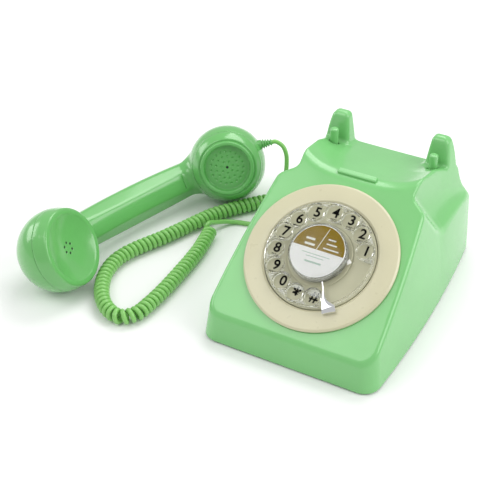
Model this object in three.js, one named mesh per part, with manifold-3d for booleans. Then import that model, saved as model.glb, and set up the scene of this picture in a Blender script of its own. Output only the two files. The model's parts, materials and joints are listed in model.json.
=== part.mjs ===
// Desk telephone with a turning dial, its handset lying off the hook beside it.
// Millimetres, +Z up, +Y to the back. In the design frame the middle plane is x = 0,
// the front bottom edge is y = 0 and the table is z = 0. At the end the whole object
// moves so that the middle of its footprint, cord left out, stands at the origin.
import * as THREE from 'three';
import { mergeVertices } from 'three/addons/utils/BufferGeometryUtils.js';
import Module from 'manifold-3d';

const wasm = await Module();
wasm.setup();

// ---------------------------------------------------------------- driving sizes
const gap = 0.3;                    // clearance between pieces that touch
const caseDepth = 212;              // front edge to rear face, along the table
const caseHalfWidth = 69.8;         // half width at the front corners
const caseLift = 1;                 // bottom rim above the table
const wall = 2.6;                   // thickness of every case wall
const slopeAngle = THREE.MathUtils.degToRad(33.3);
const bandHeight = 25;              // height of the front band
const frontLean = 2.7;              // how far the band leans back over its height
const ridgeY = 115;                 // where the slope ends and the cradle starts
const cradleEndY = 187;             // rear edge of the cradle
const cradleFall = 0.22;            // fall of the cradle floor towards the back
const cradleRise = 6.5;             // height of the cradle's side edges over its middle
const earX = 40;                    // middle of each hook ear
const earTopZ = 112;
const earFrontY = 172;
const earThickness = 12;
const plungerX = 41.5;
const plungerY = 164.5;
const plungerRadius = 3.4;
const plungerTop = 103;
const plungerTravel = 6;
const baseThickness = 2;
const footRadius = 7;
const footHeight = 1.7;
const screwRadius = 1.5;

const dialPlateRadius = 58;         // cream cover plate
const dialPlateBore = 42.1;
const dialPlateThickness = 3;
const wheelRadius = 40.8;           // finger wheel
const wheelThickness = 2.4;
const wheelBottom = 5.4;            // above the slope
const hubTop = 11.2;                // raised middle that carries the label
const hubWall = 1.8;
const holeRadius = 6.1;
const holeRing = 33.4;              // radius of the ring of finger holes
const holeCount = 12;
const holePitch = 24;               // degrees from one hole to the next
const firstHole = 21;               // degrees, counter-clockwise from the right
const stopAngle = -60;              // finger stop
const spindleRadius = 3;
const labelRadius = 20.3;
const labelRim = 1.4;               // cover and hub beyond the label's edge
const stopTip = 23;                 // inner end of the finger stop's blade
const housingRadius = 34;
const housingDepth = 26;
const gearTeeth = 32;
const pinionTeeth = 8;
const gearModule = 1.2;

const gongRadius = 25;
const gongX = 29;
const gongY = 157;
const gongRimZ = 38;
const gongHeight = 15;
const gongPostRadius = 3;

const bulbRadius = 33;              // both ends of the handset
const bulbWall = 3;
const handsetSpan = 179;            // between the centres of the two ends
const earTilt = THREE.MathUtils.degToRad(21.5);
const mouthTilt = THREE.MathUtils.degToRad(39.5);
const earFaceDistance = 14;
const earFaceHollow = 4.9;          // its middle lies this far under its rim
const mouthRingRadius = 20.9;
const mouthRecess = 5;
const earSeam = 2.5;                // cap joint of each end, measured from its centre
const mouthSeam = 14;
const gripHalfWidth = 13.3;         // at its ends
const gripHalfDepth = 10;
const gripSwell = 2.7;              // more half width at its middle
const gripOffset = -20;             // grip axis behind the line of the centres
const gripArch = 7;                 // and further behind at its middle
const glandRadius = 4;
const glandLength = 9;

const cordRadius = 1.6;
const coilRadius = 6.3;
const coilZ = coilRadius + 0.2;     // middle of the coil over the table
const grommetRadius = 4.5;

// ---------------------------------------------------------------- shared tools
const vec = (x, y, z) => new THREE.Vector3(x, y, z);
const clamp01 = (value) => Math.min(1, Math.max(0, value));

// Turns a closed geometry into a solid that can be cut and joined.
function toSolid(geometry) {
  const bare = geometry.clone();
  bare.deleteAttribute('normal');
  bare.deleteAttribute('uv');
  const merged = mergeVertices(bare, 1e-4);
  return new wasm.Manifold(new wasm.Mesh({
    numProp: 3,
    vertProperties: new Float32Array(merged.attributes.position.array),
    triVerts: new Uint32Array(merged.index.array),
  }));
}

function toGeometry(solid) {
  const mesh = solid.getMesh();
  const geometry = new THREE.BufferGeometry();
  geometry.setAttribute('position', new THREE.BufferAttribute(new Float32Array(mesh.vertProperties), 3));
  geometry.setIndex(new THREE.BufferAttribute(new Uint32Array(mesh.triVerts), 1));
  geometry.computeVertexNormals();
  return geometry;
}

const join = (...parts) => toGeometry(parts.map(toSolid).reduce((a, b) => a.add(b)));
const cut = (body, ...tools) => toGeometry(tools.map(toSolid).reduce((a, b) => a.subtract(b), toSolid(body)));
const common = (a, b) => toGeometry(toSolid(a).intersect(toSolid(b)));

// A rod along +Z that starts at z0.
function rod(radius, z0, z1, sides = 24, endRadius = radius) {
  const geometry = new THREE.CylinderGeometry(endRadius, radius, z1 - z0, sides);
  return geometry.rotateX(Math.PI / 2).translate(0, 0, (z0 + z1) / 2);
}

// A solid of revolution about Z from [radius, z] points that run anticlockwise.
function turned(points, sides = 48, closed = false) {
  const profile = points.map(([r, z]) => new THREE.Vector2(r, z));
  if (closed) profile.push(profile[0].clone());
  return new THREE.LatheGeometry(profile, sides).rotateX(Math.PI / 2);
}

const tube = (inner, outer, z0, z1, sides = 48) =>
  turned([[inner, z0], [outer, z0], [outer, z1], [inner, z1]], sides, true);

function box(x0, x1, y0, y1, z0, z1) {
  const geometry = new THREE.BoxGeometry(x1 - x0, y1 - y0, z1 - z0);
  return geometry.translate((x0 + x1) / 2, (y0 + y1) / 2, (z0 + z1) / 2);
}

// Skins equal rings of points, each ring convex and anticlockwise seen from the last one.
function loft(rings) {
  const count = rings[0].length;
  const index = [];
  for (let r = 0; r + 1 < rings.length; r += 1) {
    for (let i = 0; i < count; i += 1) {
      const a = r * count + i;
      const b = r * count + (i + 1) % count;
      index.push(a, b, b + count, a, b + count, a + count);
    }
  }
  const last = (rings.length - 1) * count;
  for (let i = 1; i + 1 < count; i += 1) {
    index.push(0, i + 1, i, last, last + i, last + i + 1);
  }
  const geometry = new THREE.BufferGeometry();
  geometry.setFromPoints(rings.flat());
  geometry.setIndex(index);
  return geometry;
}

// An outline in the YZ plane, extruded along X from -half to +half.
function slab(points, half) {
  const shape = new THREE.Shape(points.map(([y, z]) => new THREE.Vector2(y, z)));
  const geometry = new THREE.ExtrudeGeometry(shape, { depth: 2 * half, bevelEnabled: false });
  geometry.rotateX(Math.PI / 2).rotateZ(Math.PI / 2);
  return geometry.translate(-half, 0, 0);
}

// The same shape on the other side of the middle plane.
function mirror(geometry) {
  const copy = geometry.index ? geometry.clone() : mergeVertices(geometry);
  copy.scale(-1, 1, 1);
  const flipped = Array.from(copy.index.array);
  for (let i = 0; i < flipped.length; i += 3) {
    [flipped[i + 1], flipped[i + 2]] = [flipped[i + 2], flipped[i + 1]];
  }
  copy.setIndex(flipped);
  return copy;
}

// ---------------------------------------------------------------- the case
const slopeZ = (y) => bandHeight + (y - frontLean) * Math.tan(slopeAngle);
const rearLean = 0.03;

// Half width of the case at a place along Y and a height.
function halfWidth(y, z) {
  const base = caseHalfWidth + 0.0786 * y - 0.0005 * y * y;
  const rear = clamp01((y - 130) / 60);
  return base - (0.11 - 0.06 * rear) * z - 0.0004 * (1 - 0.7 * rear) * z * z;
}

// Horizontal outline of the case at a height, moved in by an inset.
function caseOutline(z, inset) {
  const front = frontLean * z / bandHeight + inset;
  const rear = caseDepth - rearLean * z - inset;
  const corner = 12 - inset;
  const right = [];
  for (let i = 0; i <= 4; i += 1) {
    const angle = (i / 4) * Math.PI / 2;
    const x = halfWidth(front + corner, z) - inset - corner + corner * Math.sin(angle);
    right.push(vec(x, front + corner - corner * Math.cos(angle), z));
  }
  for (let i = 1; i <= 6; i += 1) {
    const y = front + corner + (i / 7) * (rear - front - 2 * corner);
    right.push(vec(halfWidth(y, z) - inset, y, z));
  }
  for (let i = 0; i <= 4; i += 1) {
    const angle = (i / 4) * Math.PI / 2;
    const x = halfWidth(rear - corner, z) - inset - corner + corner * Math.cos(angle);
    right.push(vec(x, rear - corner + corner * Math.sin(angle), z));
  }
  const left = right.map((p) => vec(-p.x, p.y, p.z)).reverse();
  return [...right, ...left];
}

const caseBlock = (bottom, inset) => loft([bottom, 45, 85, 125].map((z) => caseOutline(z, inset)));

// Everything under the slope, the cradle and the rear face, lowered by a drop.
function profileBlock(drop) {
  const along = drop / Math.cos(slopeAngle);
  return slab([
    [-20, -20], [caseDepth + 20, -20], [caseDepth + 20, 40 - drop],
    [caseDepth - 8, 52 - drop], [cradleEndY + 12 - drop, 60 - drop],
    [cradleEndY - drop / 2, 83 - drop], [cradleEndY - drop / 2, 125],
    [ridgeY + 50, slopeZ(ridgeY + 50) - along], [-20, slopeZ(-20) - along],
  ], 90);
}

// Cradle floor: level across its middle, curving up to its side edges.
function cradleZ(x, y) {
  const middle = slopeZ(ridgeY) - cradleFall * (y - ridgeY);
  const rise = cradleRise * (1 - clamp01((y - 150) / 32)) + 0.8;
  return middle + rise * Math.pow(Math.min(Math.abs(x), 47) / 46, 3.5);
}

// Space above the cradle floor.
function cradleSpace(drop) {
  const columns = [-90, -47, -44, -40, -35, -28, -16, 0, 16, 28, 35, 40, 44, 47, 90];
  const ring = (y) => [
    ...columns.map((x) => vec(x, y, cradleZ(x, y) - drop)),
    vec(90, y, 140),
    vec(-90, y, 140),
  ];
  const rows = [];
  for (let y = 80; y <= 240; y += 8) rows.push(ring(y));
  return heightBlock(rows);
}

// Like loft, for rings along +Y whose top edge is straight and whose floor may be hollow.
function heightBlock(rows) {
  const geometry = loft(rows);
  const count = rows[0].length;
  const outline = rows[0].map((p) => new THREE.Vector2(p.x, p.z));
  const caps = THREE.ShapeUtils.triangulateShape(outline, []);
  const index = Array.from(geometry.index.array).slice(0, (rows.length - 1) * count * 6);
  const last = (rows.length - 1) * count;
  caps.forEach(([a, b, c]) => {
    index.push(a, b, c);
    index.push(last + a, last + c, last + b);
  });
  // The rows run along +Y, so the skin made for a stack along +Z faces the other way.
  for (let i = 0; i < (rows.length - 1) * count * 6; i += 3) {
    [index[i + 1], index[i + 2]] = [index[i + 2], index[i + 1]];
  }
  geometry.setIndex(index);
  return geometry;
}

// Recess in the right side under the cradle, where one end of the handset hangs.
function sideRecess(inset) {
  const section = (y) => {
    const back = clamp01((y - 140) / 55);
    const vx = 50 + 0.13 * (y - 135) - inset;
    const vz = 75 - 0.28 * (y - 135) - 0.0025 * Math.max(0, y - 165) ** 2 - inset;
    const topX = 46 + 3 * clamp01((y - 160) / 24) - inset;
    const fall = 1.25 - back;
    const outX = caseHalfWidth + 6;
    return [vec(topX, y, 130), vec(vx, y, vz), vec(outX, y, vz - fall * (outX - vx)), vec(outX, y, 130)];
  };
  const rows = [];
  for (let y = 95; y <= 225; y += 10) rows.push(section(y));
  const block = heightBlock(rows);
  // Front wall of the recess: a plane through the top of the slope's side edge.
  const size = 300;
  const keep = box(0, size, -size, size, -size, size);
  const normal = vec(0.62, 0.56, 0.55).normalize();
  keep.applyQuaternion(new THREE.Quaternion().setFromUnitVectors(vec(1, 0, 0), normal));
  const corner = vec(59.5, ridgeY - 12, slopeZ(ridgeY - 12)).addScaledVector(normal, -inset);
  keep.translate(corner.x, corner.y, corner.z);
  return common(block, keep);
}

// One hook ear on the right: a tapered fin behind the plunger.
function hookEar() {
  const ring = (z, x0, x1, y0, y1) => [vec(x0, y0, z), vec(x1, y0, z), vec(x1, y1, z), vec(x0, y1, z)];
  const back = earFrontY + earThickness;
  return loft([
    ring(78, earX - 8, earX + 16, earFrontY - 3, back + 3),
    ring(90, earX - 7.5, earX + 14.5, earFrontY - 1.5, back + 2),
    ring(earTopZ - 4, earX - 6.5, earX + 9, earFrontY + 1, back + 0.5),
    ring(earTopZ, earX - 4, earX + 5.5, earFrontY + 3, back - 2),
  ]);
}

const screwPlaces = [[50, 24], [-50, 24], [45, 192], [-45, 192]];
const footPlaces = [[52, 40], [-52, 40], [50, 176], [-50, 176]];
const floorZ = caseLift + 1 + baseThickness;      // top of the base plate
const grommetY = 160;
const grommetZ = 10;
const socketX = 25;
const socketHalf = 7;
const socketZ = 9;

const dialFrame = new THREE.Matrix4().makeRotationX(slopeAngle);
dialFrame.setPosition(0, 58, slopeZ(58));
const inDial = (geometry) => geometry.applyMatrix4(dialFrame);

function makeCase() {
  const ears = hookEar();
  let outer = toSolid(common(caseBlock(caseLift, 0), profileBlock(0)));
  outer = outer.subtract(toSolid(cradleSpace(0)));
  outer = outer.add(toSolid(ears)).add(toSolid(mirror(ears)));
  const recess = sideRecess(0);
  outer = outer.subtract(toSolid(recess)).subtract(toSolid(mirror(recess)));

  let inner = toSolid(common(caseBlock(caseLift - 5, wall), profileBlock(wall)));
  inner = inner.subtract(toSolid(cradleSpace(wall)));
  const innerRecess = sideRecess(wall);
  inner = inner.subtract(toSolid(innerRecess)).subtract(toSolid(mirror(innerRecess)));

  let shell = outer.subtract(inner);
  for (const [x, y] of screwPlaces) {
    const boss = toSolid(rod(4, floorZ + gap, 100, 10).translate(x, y, 0)).intersect(outer);
    const bore = toSolid(rod(screwRadius + gap, floorZ, floorZ + 12, 10).translate(x, y, 0));
    shell = shell.add(boss).subtract(bore);
  }
  shell = shell.subtract(toSolid(inDial(rod(dialPlateBore + 1, -20, 20, 40))));
  for (const side of [1, -1]) {
    shell = shell.subtract(toSolid(rod(plungerRadius + 0.5, 60, 98, 20).translate(side * plungerX, plungerY, 0)));
  }
  const grommetHole = rod(grommetRadius + gap, -10, 10).rotateY(Math.PI / 2);
  shell = shell.subtract(toSolid(grommetHole.translate(-halfWidth(grommetY, grommetZ), grommetY, grommetZ)));
  const socketHole = box(socketX - socketHalf - gap, socketX + socketHalf + gap,
    caseDepth - 10, caseDepth + 10, socketZ - gap, socketZ + 2 * socketHalf + gap);
  shell = shell.subtract(toSolid(socketHole));
  const tabPocket = rotatedTab(gap);
  return toGeometry(shell.subtract(toSolid(tabPocket)));
}

// Small cover plate let into the top of the slope.
function rotatedTab(grow) {
  const plate = box(-15.6 - grow, 15.6 + grow, -2.4 - grow, 2.4 + grow, -1 - grow, 1.2 + grow);
  plate.rotateX(slopeAngle * 0.5);
  return plate.translate(0, ridgeY + 2, slopeZ(ridgeY) - 0.2);
}

function makeBasePlate() {
  let plate = toSolid(loft([floorZ - baseThickness, floorZ].map((z) => caseOutline(z, wall + 0.6))));
  for (const [x, y] of screwPlaces) {
    plate = plate.subtract(toSolid(rod(screwRadius + gap, 0, 10, 10).translate(x, y, 0)));
  }
  return toGeometry(plate);
}

const makeScrew = ([x, y]) =>
  join(rod(3, 0.4, floorZ - baseThickness - gap, 10), rod(screwRadius, 1, floorZ + 10, 10)).translate(x, y, 0);

const makeFoot = ([x, y]) =>
  turned([[0, 0], [footRadius - 0.6, 0], [footRadius, 0.6], [footRadius, footHeight], [0, footHeight]], 16)
    .translate(x, y, 0);

// ---------------------------------------------------------------- the dial
const ringTop = dialPlateThickness + gap;        // number ring's upper face
const wheelTop = wheelBottom + wheelThickness;
const spindleTop = hubTop - hubWall - 0.6;
const shaftCentre = (gearTeeth + pinionTeeth) * gearModule / 2 + 0.35;

const plateRise = 0.8;              // the plate is highest round its bore
const hubRadius = labelRadius + labelRim;

function makeDialPlate() {
  const top = gap + dialPlateThickness;
  return turned([
    [dialPlateBore, gap], [dialPlateRadius, gap], [dialPlateRadius, top - 1.6], [dialPlateRadius - 1.4, top - 0.3],
    [dialPlateBore + 5, top + plateRise], [dialPlateBore + 1, top + plateRise], [dialPlateBore, top],
  ], 48, true);
}

const makeNumberRing = () => tube(spindleRadius + 0.5, dialPlateBore - 0.5, gap, ringTop, 40);

function makeHousing() {
  const cup = turned([
    [spindleRadius + 0.5, 0], [spindleRadius + 0.5, -2], [housingRadius - 2, -2], [housingRadius - 2, -housingDepth],
    [housingRadius, -housingDepth], [housingRadius, -2], [dialPlateBore - 0.5, -2], [dialPlateBore - 0.5, 0],
  ], 32, true);
  return cup;
}

function makeWheel() {
  const inner = hubRadius - hubWall;
  let wheel = toSolid(join(
    turned([
      [0, hubTop - hubWall], [inner, hubTop - hubWall], [inner, wheelBottom], [wheelRadius, wheelBottom],
      [wheelRadius, wheelTop - 0.6], [wheelRadius - 0.6, wheelTop], [hubRadius + 0.4, wheelTop],
      [hubRadius, hubTop], [0, hubTop],
    ], 48),
    rod(7, ringTop + 0.6, hubTop - 1, 24),
  ));
  wheel = wheel.subtract(toSolid(rod(spindleRadius + gap, 0, spindleTop + gap)));
  for (let i = 0; i < holeCount; i += 1) {
    const angle = THREE.MathUtils.degToRad(firstHole + i * holePitch);
    const hole = rod(holeRadius, wheelBottom - 1, wheelTop + 1, 16);
    wheel = wheel.subtract(toSolid(hole.translate(holeRing * Math.cos(angle), holeRing * Math.sin(angle), 0)));
  }
  return toGeometry(wheel);
}

const makeLabelCard = () => rod(labelRadius, hubTop + gap, hubTop + gap + 0.4, 32);

function makeLabelCover() {
  const z = hubTop + gap;
  return turned([
    [0, z + 0.7], [labelRadius + gap, z + 0.7], [labelRadius + gap, z], [hubRadius, z],
    [hubRadius, z + 1], [labelRadius - 2, z + 1.8], [0, z + 2],
  ], 32);
}

// Bent metal blade: a foot on the cover plate and a narrow arm that hooks over the wheel.
function makeFingerStop() {
  const bladeThickness = 1.2;
  const armZ = wheelTop + 0.8;
  const footZ = dialPlateThickness + plateRise + 2 * gap;
  const footOut = dialPlateBore + 4.4;
  const footIn = wheelRadius + 1.6;
  const arm = new THREE.Shape();
  arm.moveTo(footOut, -3.4);
  arm.lineTo(footOut, 6.6);
  arm.lineTo(footIn + 0.6, 6.8);
  arm.quadraticCurveTo(39.5, 1, stopTip + 6, 0.2);
  arm.lineTo(stopTip, 0.6);
  arm.lineTo(stopTip, -0.2);
  arm.quadraticCurveTo(34, -3.2, footOut, -3.4);
  const blade = new THREE.ExtrudeGeometry(arm, { depth: bladeThickness, bevelEnabled: false, curveSegments: 6 });
  const leg = box(footIn + 1, footOut, -3.3, 6.5, footZ, armZ + bladeThickness / 2);
  const stop = join(blade.translate(0, 0, armZ), leg);
  return stop.rotateZ(THREE.MathUtils.degToRad(stopAngle));
}

const makeSpindle = () => rod(spindleRadius, -housingDepth + 2, spindleTop, 20);

function gearShape(teeth, bore) {
  const pitchRadius = teeth * gearModule / 2;
  const shape = new THREE.Shape();
  for (let i = 0; i < teeth; i += 1) {
    const step = 2 * Math.PI / teeth;
    [[-0.3, -1.1], [-0.12, 0.8], [0.12, 0.8], [0.3, -1.1]].forEach(([turn, rise]) => {
      const angle = (i + turn) * step;
      const radius = pitchRadius + rise * gearModule;
      const point = [radius * Math.cos(angle), radius * Math.sin(angle)];
      if (i === 0 && turn === -0.3) shape.moveTo(...point);
      else shape.lineTo(...point);
    });
  }
  const hole = new THREE.Path();
  hole.absarc(0, 0, bore, 0, 2 * Math.PI, true);
  shape.holes.push(hole);
  return shape;
}

function makeGear(teeth, bore, z0, z1) {
  const shape = gearShape(teeth, bore);
  const gear = new THREE.ExtrudeGeometry(shape, { depth: z1 - z0, bevelEnabled: false, curveSegments: 8 });
  return gear.translate(0, 0, z0);
}

const makeMainGear = () => makeGear(gearTeeth, spindleRadius + gap, -6, -4.4);

function makePinion() {
  const pinion = makeGear(pinionTeeth, 1, -6.4, -4);
  pinion.rotateZ(Math.PI + Math.PI / pinionTeeth);
  return join(pinion, rod(1.3, -20, -3.4, 12)).translate(-shaftCentre, 0, 0);
}

const makeGovernorWeights = () => rod(4.6, -18, -12, 16).translate(-shaftCentre, 0, 0);
const governorBore = (z0, z1) => rod(1.3 + gap, z0, z1, 12).translate(-shaftCentre, 0, 0);
const makeGovernorDrum = () => tube(5.1, 6.1, -19, -11, 16).translate(-shaftCentre, 0, 0);
const makeReturnSpring = () => tube(6, 13, -11, -8, 20);

function makePulseCam() {
  const disc = rod(11, -16, -14, 20);
  return cut(disc, rod(spindleRadius + gap, -20, -10), box(7, 14, -14, -3, -20, -10));
}

function makePulseContacts() {
  const block = box(13, 25, 12, 17, -20, -7);
  const leafA = box(11.6, 12.2, -3, 16, -16, -14.4);
  const leafB = box(12.2, 15, 13, 16, -16, -14.4);
  return join(block, join(leafA, leafB));
}

// ---------------------------------------------------------------- inside the case
const makeGong = (side) => turned([
  [gongPostRadius + gap, gongRimZ + gongHeight], [gongPostRadius + gap, gongRimZ + gongHeight - 1.6],
  [12, gongRimZ + gongHeight - 2], [20, gongRimZ + gongHeight - 5], [gongRadius - 1.5, gongRimZ],
  [gongRadius, gongRimZ], [21.6, gongRimZ + gongHeight - 4], [12.5, gongRimZ + gongHeight],
], 24, true).translate(side * gongX, gongY, 0);

const makeGongPost = (side) => join(
  rod(gongPostRadius, floorZ + gap, gongRimZ + gongHeight + 1, 16),
  rod(5.5, gongRimZ + gongHeight - 6, gongRimZ + gongHeight - 2.2, 16),
).translate(side * gongX, gongY, 0);

const makeGongNut = (side) => cut(
  rod(5, gongRimZ + gongHeight + gap, gongRimZ + gongHeight + 3.5, 6),
  rod(gongPostRadius + gap, gongRimZ, gongRimZ + gongHeight + 1 + gap, 16),
).translate(side * gongX, gongY, 0);

const ringerCoilZ = 18;
const makeRingerFrame = () => join(
  box(-21, 21, gongY - 13, gongY - 11, floorZ + gap, 32),
  box(-21, 21, gongY - 13, gongY + 13, floorZ + gap, floorZ + gap + 1.6),
);
const makeRingerCoil = () =>
  rod(9, -9, 12, 20).rotateX(-Math.PI / 2).translate(0, gongY, ringerCoilZ);

const clapperPivotZ = 30;
const makeClapper = () => join(
  rod(0.9, 1, 17, 10),
  new THREE.SphereGeometry(2.6, 10, 8).translate(0, 0, 17),
  rod(2.2, -3.4, 3.4, 16).rotateX(Math.PI / 2),
).translate(0, gongY, clapperPivotZ);
const makeClapperPin = () => join(
  rod(1, -9.8, -3.8, 12),
).rotateX(-Math.PI / 2).translate(0, gongY, clapperPivotZ);

// Hook lever, its bracket and its switch.
const leverY = 128;
const leverZ = 66;
const pushGap = 0.8;                // play between the lever and what it moves
const switchY = 141;
const switchBottom = 52;
const switchTop = 62;
const buttonRadius = 1.6;
const bracketHalf = 16;
const makeHookBracket = () => cut(join(
  box(-bracketHalf, bracketHalf, leverY - 10, leverY - 8, floorZ + gap, leverZ + 6),
  box(-bracketHalf, -bracketHalf + 2, leverY - 10, leverY + 5, leverZ - 6, leverZ + 6),
  box(bracketHalf - 2, bracketHalf, leverY - 10, leverY + 5, leverZ - 6, leverZ + 6),
  box(-5, 5, leverY - 9, switchY + 5, switchBottom - gap - 1.6, switchBottom - gap),
), rod(1.5 + gap, -40, 40, 16).rotateY(Math.PI / 2).translate(0, leverY, leverZ));
const makeHookPin = () =>
  rod(1.5, -bracketHalf - 3, bracketHalf + 3, 16).rotateY(Math.PI / 2).translate(0, leverY, leverZ);

function makeHookLever() {
  const barrel = rod(3.4, -bracketHalf + 2.6, bracketHalf - 2.6, 20).rotateY(Math.PI / 2).translate(0, leverY, leverZ);
  const arm = box(-8, 8, leverY, plungerY - 3, leverZ + 0.4, leverZ + 2);
  const bar = box(-plungerX - 4, plungerX + 4, plungerY - 5, plungerY + 4, leverZ + 0.4, leverZ + 2);
  const bore = rod(1.5 + gap, -40, 40, 16).rotateY(Math.PI / 2).translate(0, leverY, leverZ);
  return cut(join(barrel, join(arm, bar)), bore);
}

const makeHookSwitch = () => cut(
  box(-4.5, 4.5, switchY - 6, switchY + 5, switchBottom, switchTop),
  rod(buttonRadius + gap, switchTop - 7, switchTop + 1, 16).translate(0, switchY, 0),
);
const makeSwitchButton = () =>
  rod(buttonRadius, switchTop - 4, leverZ + 0.4 - pushGap, 16).translate(0, switchY, 0);

// A plunger: rounded head in front of the ear, stem down to the lever.
function makePlunger(side) {
  const top = plungerTop;
  const r = plungerRadius;
  const shoulder = cradleZ(plungerX, plungerY) - plungerTravel - 1.4;
  return turned([
    [0, leverZ + 2 + pushGap], [1.8, leverZ + 2 + pushGap], [1.8, shoulder - 1.5], [r, shoulder],
    [r, top - 2.4], [r * 0.85, top - 1], [r * 0.5, top - 0.2], [0, top],
  ], 20).translate(side * plungerX, plungerY, 0);
}

const makeBoard = () => box(-38, 38, 66, 118, 9, 10.6);
const boardPlaces = [[0, 69], [0, 114]];
const makeStandoff = ([x, y]) => rod(2.5, floorZ + gap, 9 - gap, 12).translate(x, y, 0);
const makeChip = () => box(-10, 10, 88, 98, 10.9, 13.2);
const makeCapacitor = () => rod(5, 10.9, 22, 20).translate(-25, 100, 0);
const makeTerminals = () => box(14, 34, 100, 110, 10.9, 20);
const makeSocket = () => cut(
  box(socketX - socketHalf, socketX + socketHalf, caseDepth - 16, caseDepth - 0.2, socketZ, socketZ + 2 * socketHalf),
  box(socketX - 4.5, socketX + 4.5, caseDepth - 12, caseDepth + 5, socketZ + 3, socketZ + 11),
);
const makeGrommet = () => join(
  rod(grommetRadius, -4.4, 2.5, 16),
  rod(grommetRadius + 1.4, -5.8, -4.2, 16),
).rotateY(-Math.PI / 2).translate(-halfWidth(grommetY, grommetZ), grommetY, grommetZ);

// ---------------------------------------------------------------- the handset
// Local frame: X runs from the earpiece to the mouthpiece, Z to the side the caps face.
const handsetX = vec(0.2876, 0.9577, 0).normalize();
const lie = THREE.MathUtils.degToRad(29.5);
const handsetZ = vec(handsetX.y * Math.cos(lie), -handsetX.x * Math.cos(lie), Math.sin(lie));
const handsetY = new THREE.Vector3().crossVectors(handsetZ, handsetX);
const earCentre = vec(-197.8, 4.6, bulbRadius);
const handsetFrame = new THREE.Matrix4().makeBasis(handsetX, handsetY, handsetZ).setPosition(earCentre);
const inHandset = (geometry) => geometry.applyMatrix4(handsetFrame);

// Each end has its own frame, its Z the way its cap faces.
const earFrame = new THREE.Matrix4().makeRotationY(earTilt);
const mouthFrame = new THREE.Matrix4().makeRotationY(-mouthTilt).setPosition(handsetSpan, 0, 0);

// Points of an arc about the centre of an end, between two heights over that centre.
function bulbArc(radius, z0, z1, steps) {
  const a0 = Math.asin(z0 / radius);
  const a1 = Math.asin(z1 / radius);
  return Array.from({ length: steps + 1 }, (_, i) => {
    const angle = a0 + (a1 - a0) * i / steps;
    return [radius * Math.cos(angle), radius * Math.sin(angle)];
  });
}

const makeCup = (seam) =>
  turned([[0, -bulbRadius], ...bulbArc(bulbRadius, -bulbRadius + 1.5, seam, 7), [0, seam]], 28);

function makeCupSpace(seam) {
  const r = bulbRadius - bulbWall;
  const arc = bulbArc(r, -r + 1.5, seam, 6);
  return turned([[0, -r], ...arc, [arc.at(-1)[0], 20], [0, 20]], 20);
}

function gripRing(x) {
  const t = (2 * x - handsetSpan) / handsetSpan;
  const bow = 1 - t * t;
  const z = gripOffset - gripArch * bow;
  const a = gripHalfWidth + gripSwell * bow;
  const b = gripHalfDepth + 2 * bow;
  return Array.from({ length: 12 }, (_, i) => {
    const angle = (i / 12) * 2 * Math.PI;
    const cos = Math.cos(angle);
    const sin = Math.sin(angle);
    return vec(x, a * Math.sign(cos) * Math.abs(cos) ** 0.8, z + b * Math.sign(sin) * Math.abs(sin) ** 0.8);
  });
}

function makeHandle() {
  const ends = [[earFrame, earSeam, bulbRadius + 0.5], [mouthFrame, mouthSeam, bulbRadius - 2]];
  let body = toSolid(loft(Array.from({ length: 8 }, (_, i) => gripRing(handsetSpan * i / 7))));
  for (const [frame, seam] of ends) body = body.add(toSolid(makeCup(seam).applyMatrix4(frame)));
  for (const [frame, seam, reach] of ends) {
    body = body.subtract(toSolid(makeCupSpace(seam).applyMatrix4(frame)));
    body = body.subtract(toSolid(rod(reach, seam, 60, 28).applyMatrix4(frame)));
  }
  const bore = rod(3.4, 10, handsetSpan - 10, 14).rotateY(Math.PI / 2).translate(0, 0, gripOffset - gripArch / 2);
  return inHandset(toGeometry(body.subtract(toSolid(bore))));
}

function makeEarCap() {
  const inner = bulbRadius - bulbWall;
  const cap = turned([
    [inner, earSeam + gap],
    ...bulbArc(bulbRadius, earSeam + gap, earFaceDistance - 1.6, 3),
    [bulbRadius - 4.2, earFaceDistance], [bulbRadius - 7, earFaceDistance - 0.6],
    [14, earFaceDistance - 0.7 * earFaceHollow], [0, earFaceDistance - earFaceHollow],
    [0, earFaceDistance - earFaceHollow - 2.5], [inner - 4, earFaceDistance - 5.5],
    [inner - 1.2, earSeam + 3],
  ], 32, true);
  const earHoles = 6;
  const holes = Array.from({ length: earHoles }, (_, i) => {
    const angle = (i / earHoles) * 2 * Math.PI;
    return rod(0.9, 0, 20, 6).translate(4.6 * Math.cos(angle), 4.6 * Math.sin(angle), 0);
  });
  return inHandset(cut(cap, ...holes).applyMatrix4(earFrame));
}

function makeMouthCap() {
  const inner = Math.sqrt((bulbRadius - bulbWall) ** 2 - mouthSeam ** 2);
  const ringZ = Math.sqrt(bulbRadius ** 2 - mouthRingRadius ** 2) - 1;
  const floor = ringZ - mouthRecess;
  const cap = turned([
    [inner, mouthSeam + gap],
    ...bulbArc(bulbRadius, mouthSeam + gap, ringZ - 1.5, 3),
    [mouthRingRadius, ringZ], [mouthRingRadius - 1.6, ringZ], [mouthRingRadius - 2.2, floor],
    [0, floor], [0, floor - 2.5], [mouthRingRadius - 3, floor - 2.5], [inner - 3, mouthSeam + 2],
  ], 32, true);
  return inHandset(cut(cap, rod(1, 0, 40, 8)).applyMatrix4(mouthFrame));
}

const makeReceiver = () => inHandset(
  turned([[0, -9], [20, -9], [24, -6], [24, 3.5], [20, 5.5], [0, 5.5]], 20).applyMatrix4(earFrame),
);
const makeTransmitter = () => inHandset(
  turned([[0, 2], [15, 2], [16, 3], [16, 10], [14, 13.5], [0, 13.5]], 20).applyMatrix4(mouthFrame),
);

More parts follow.
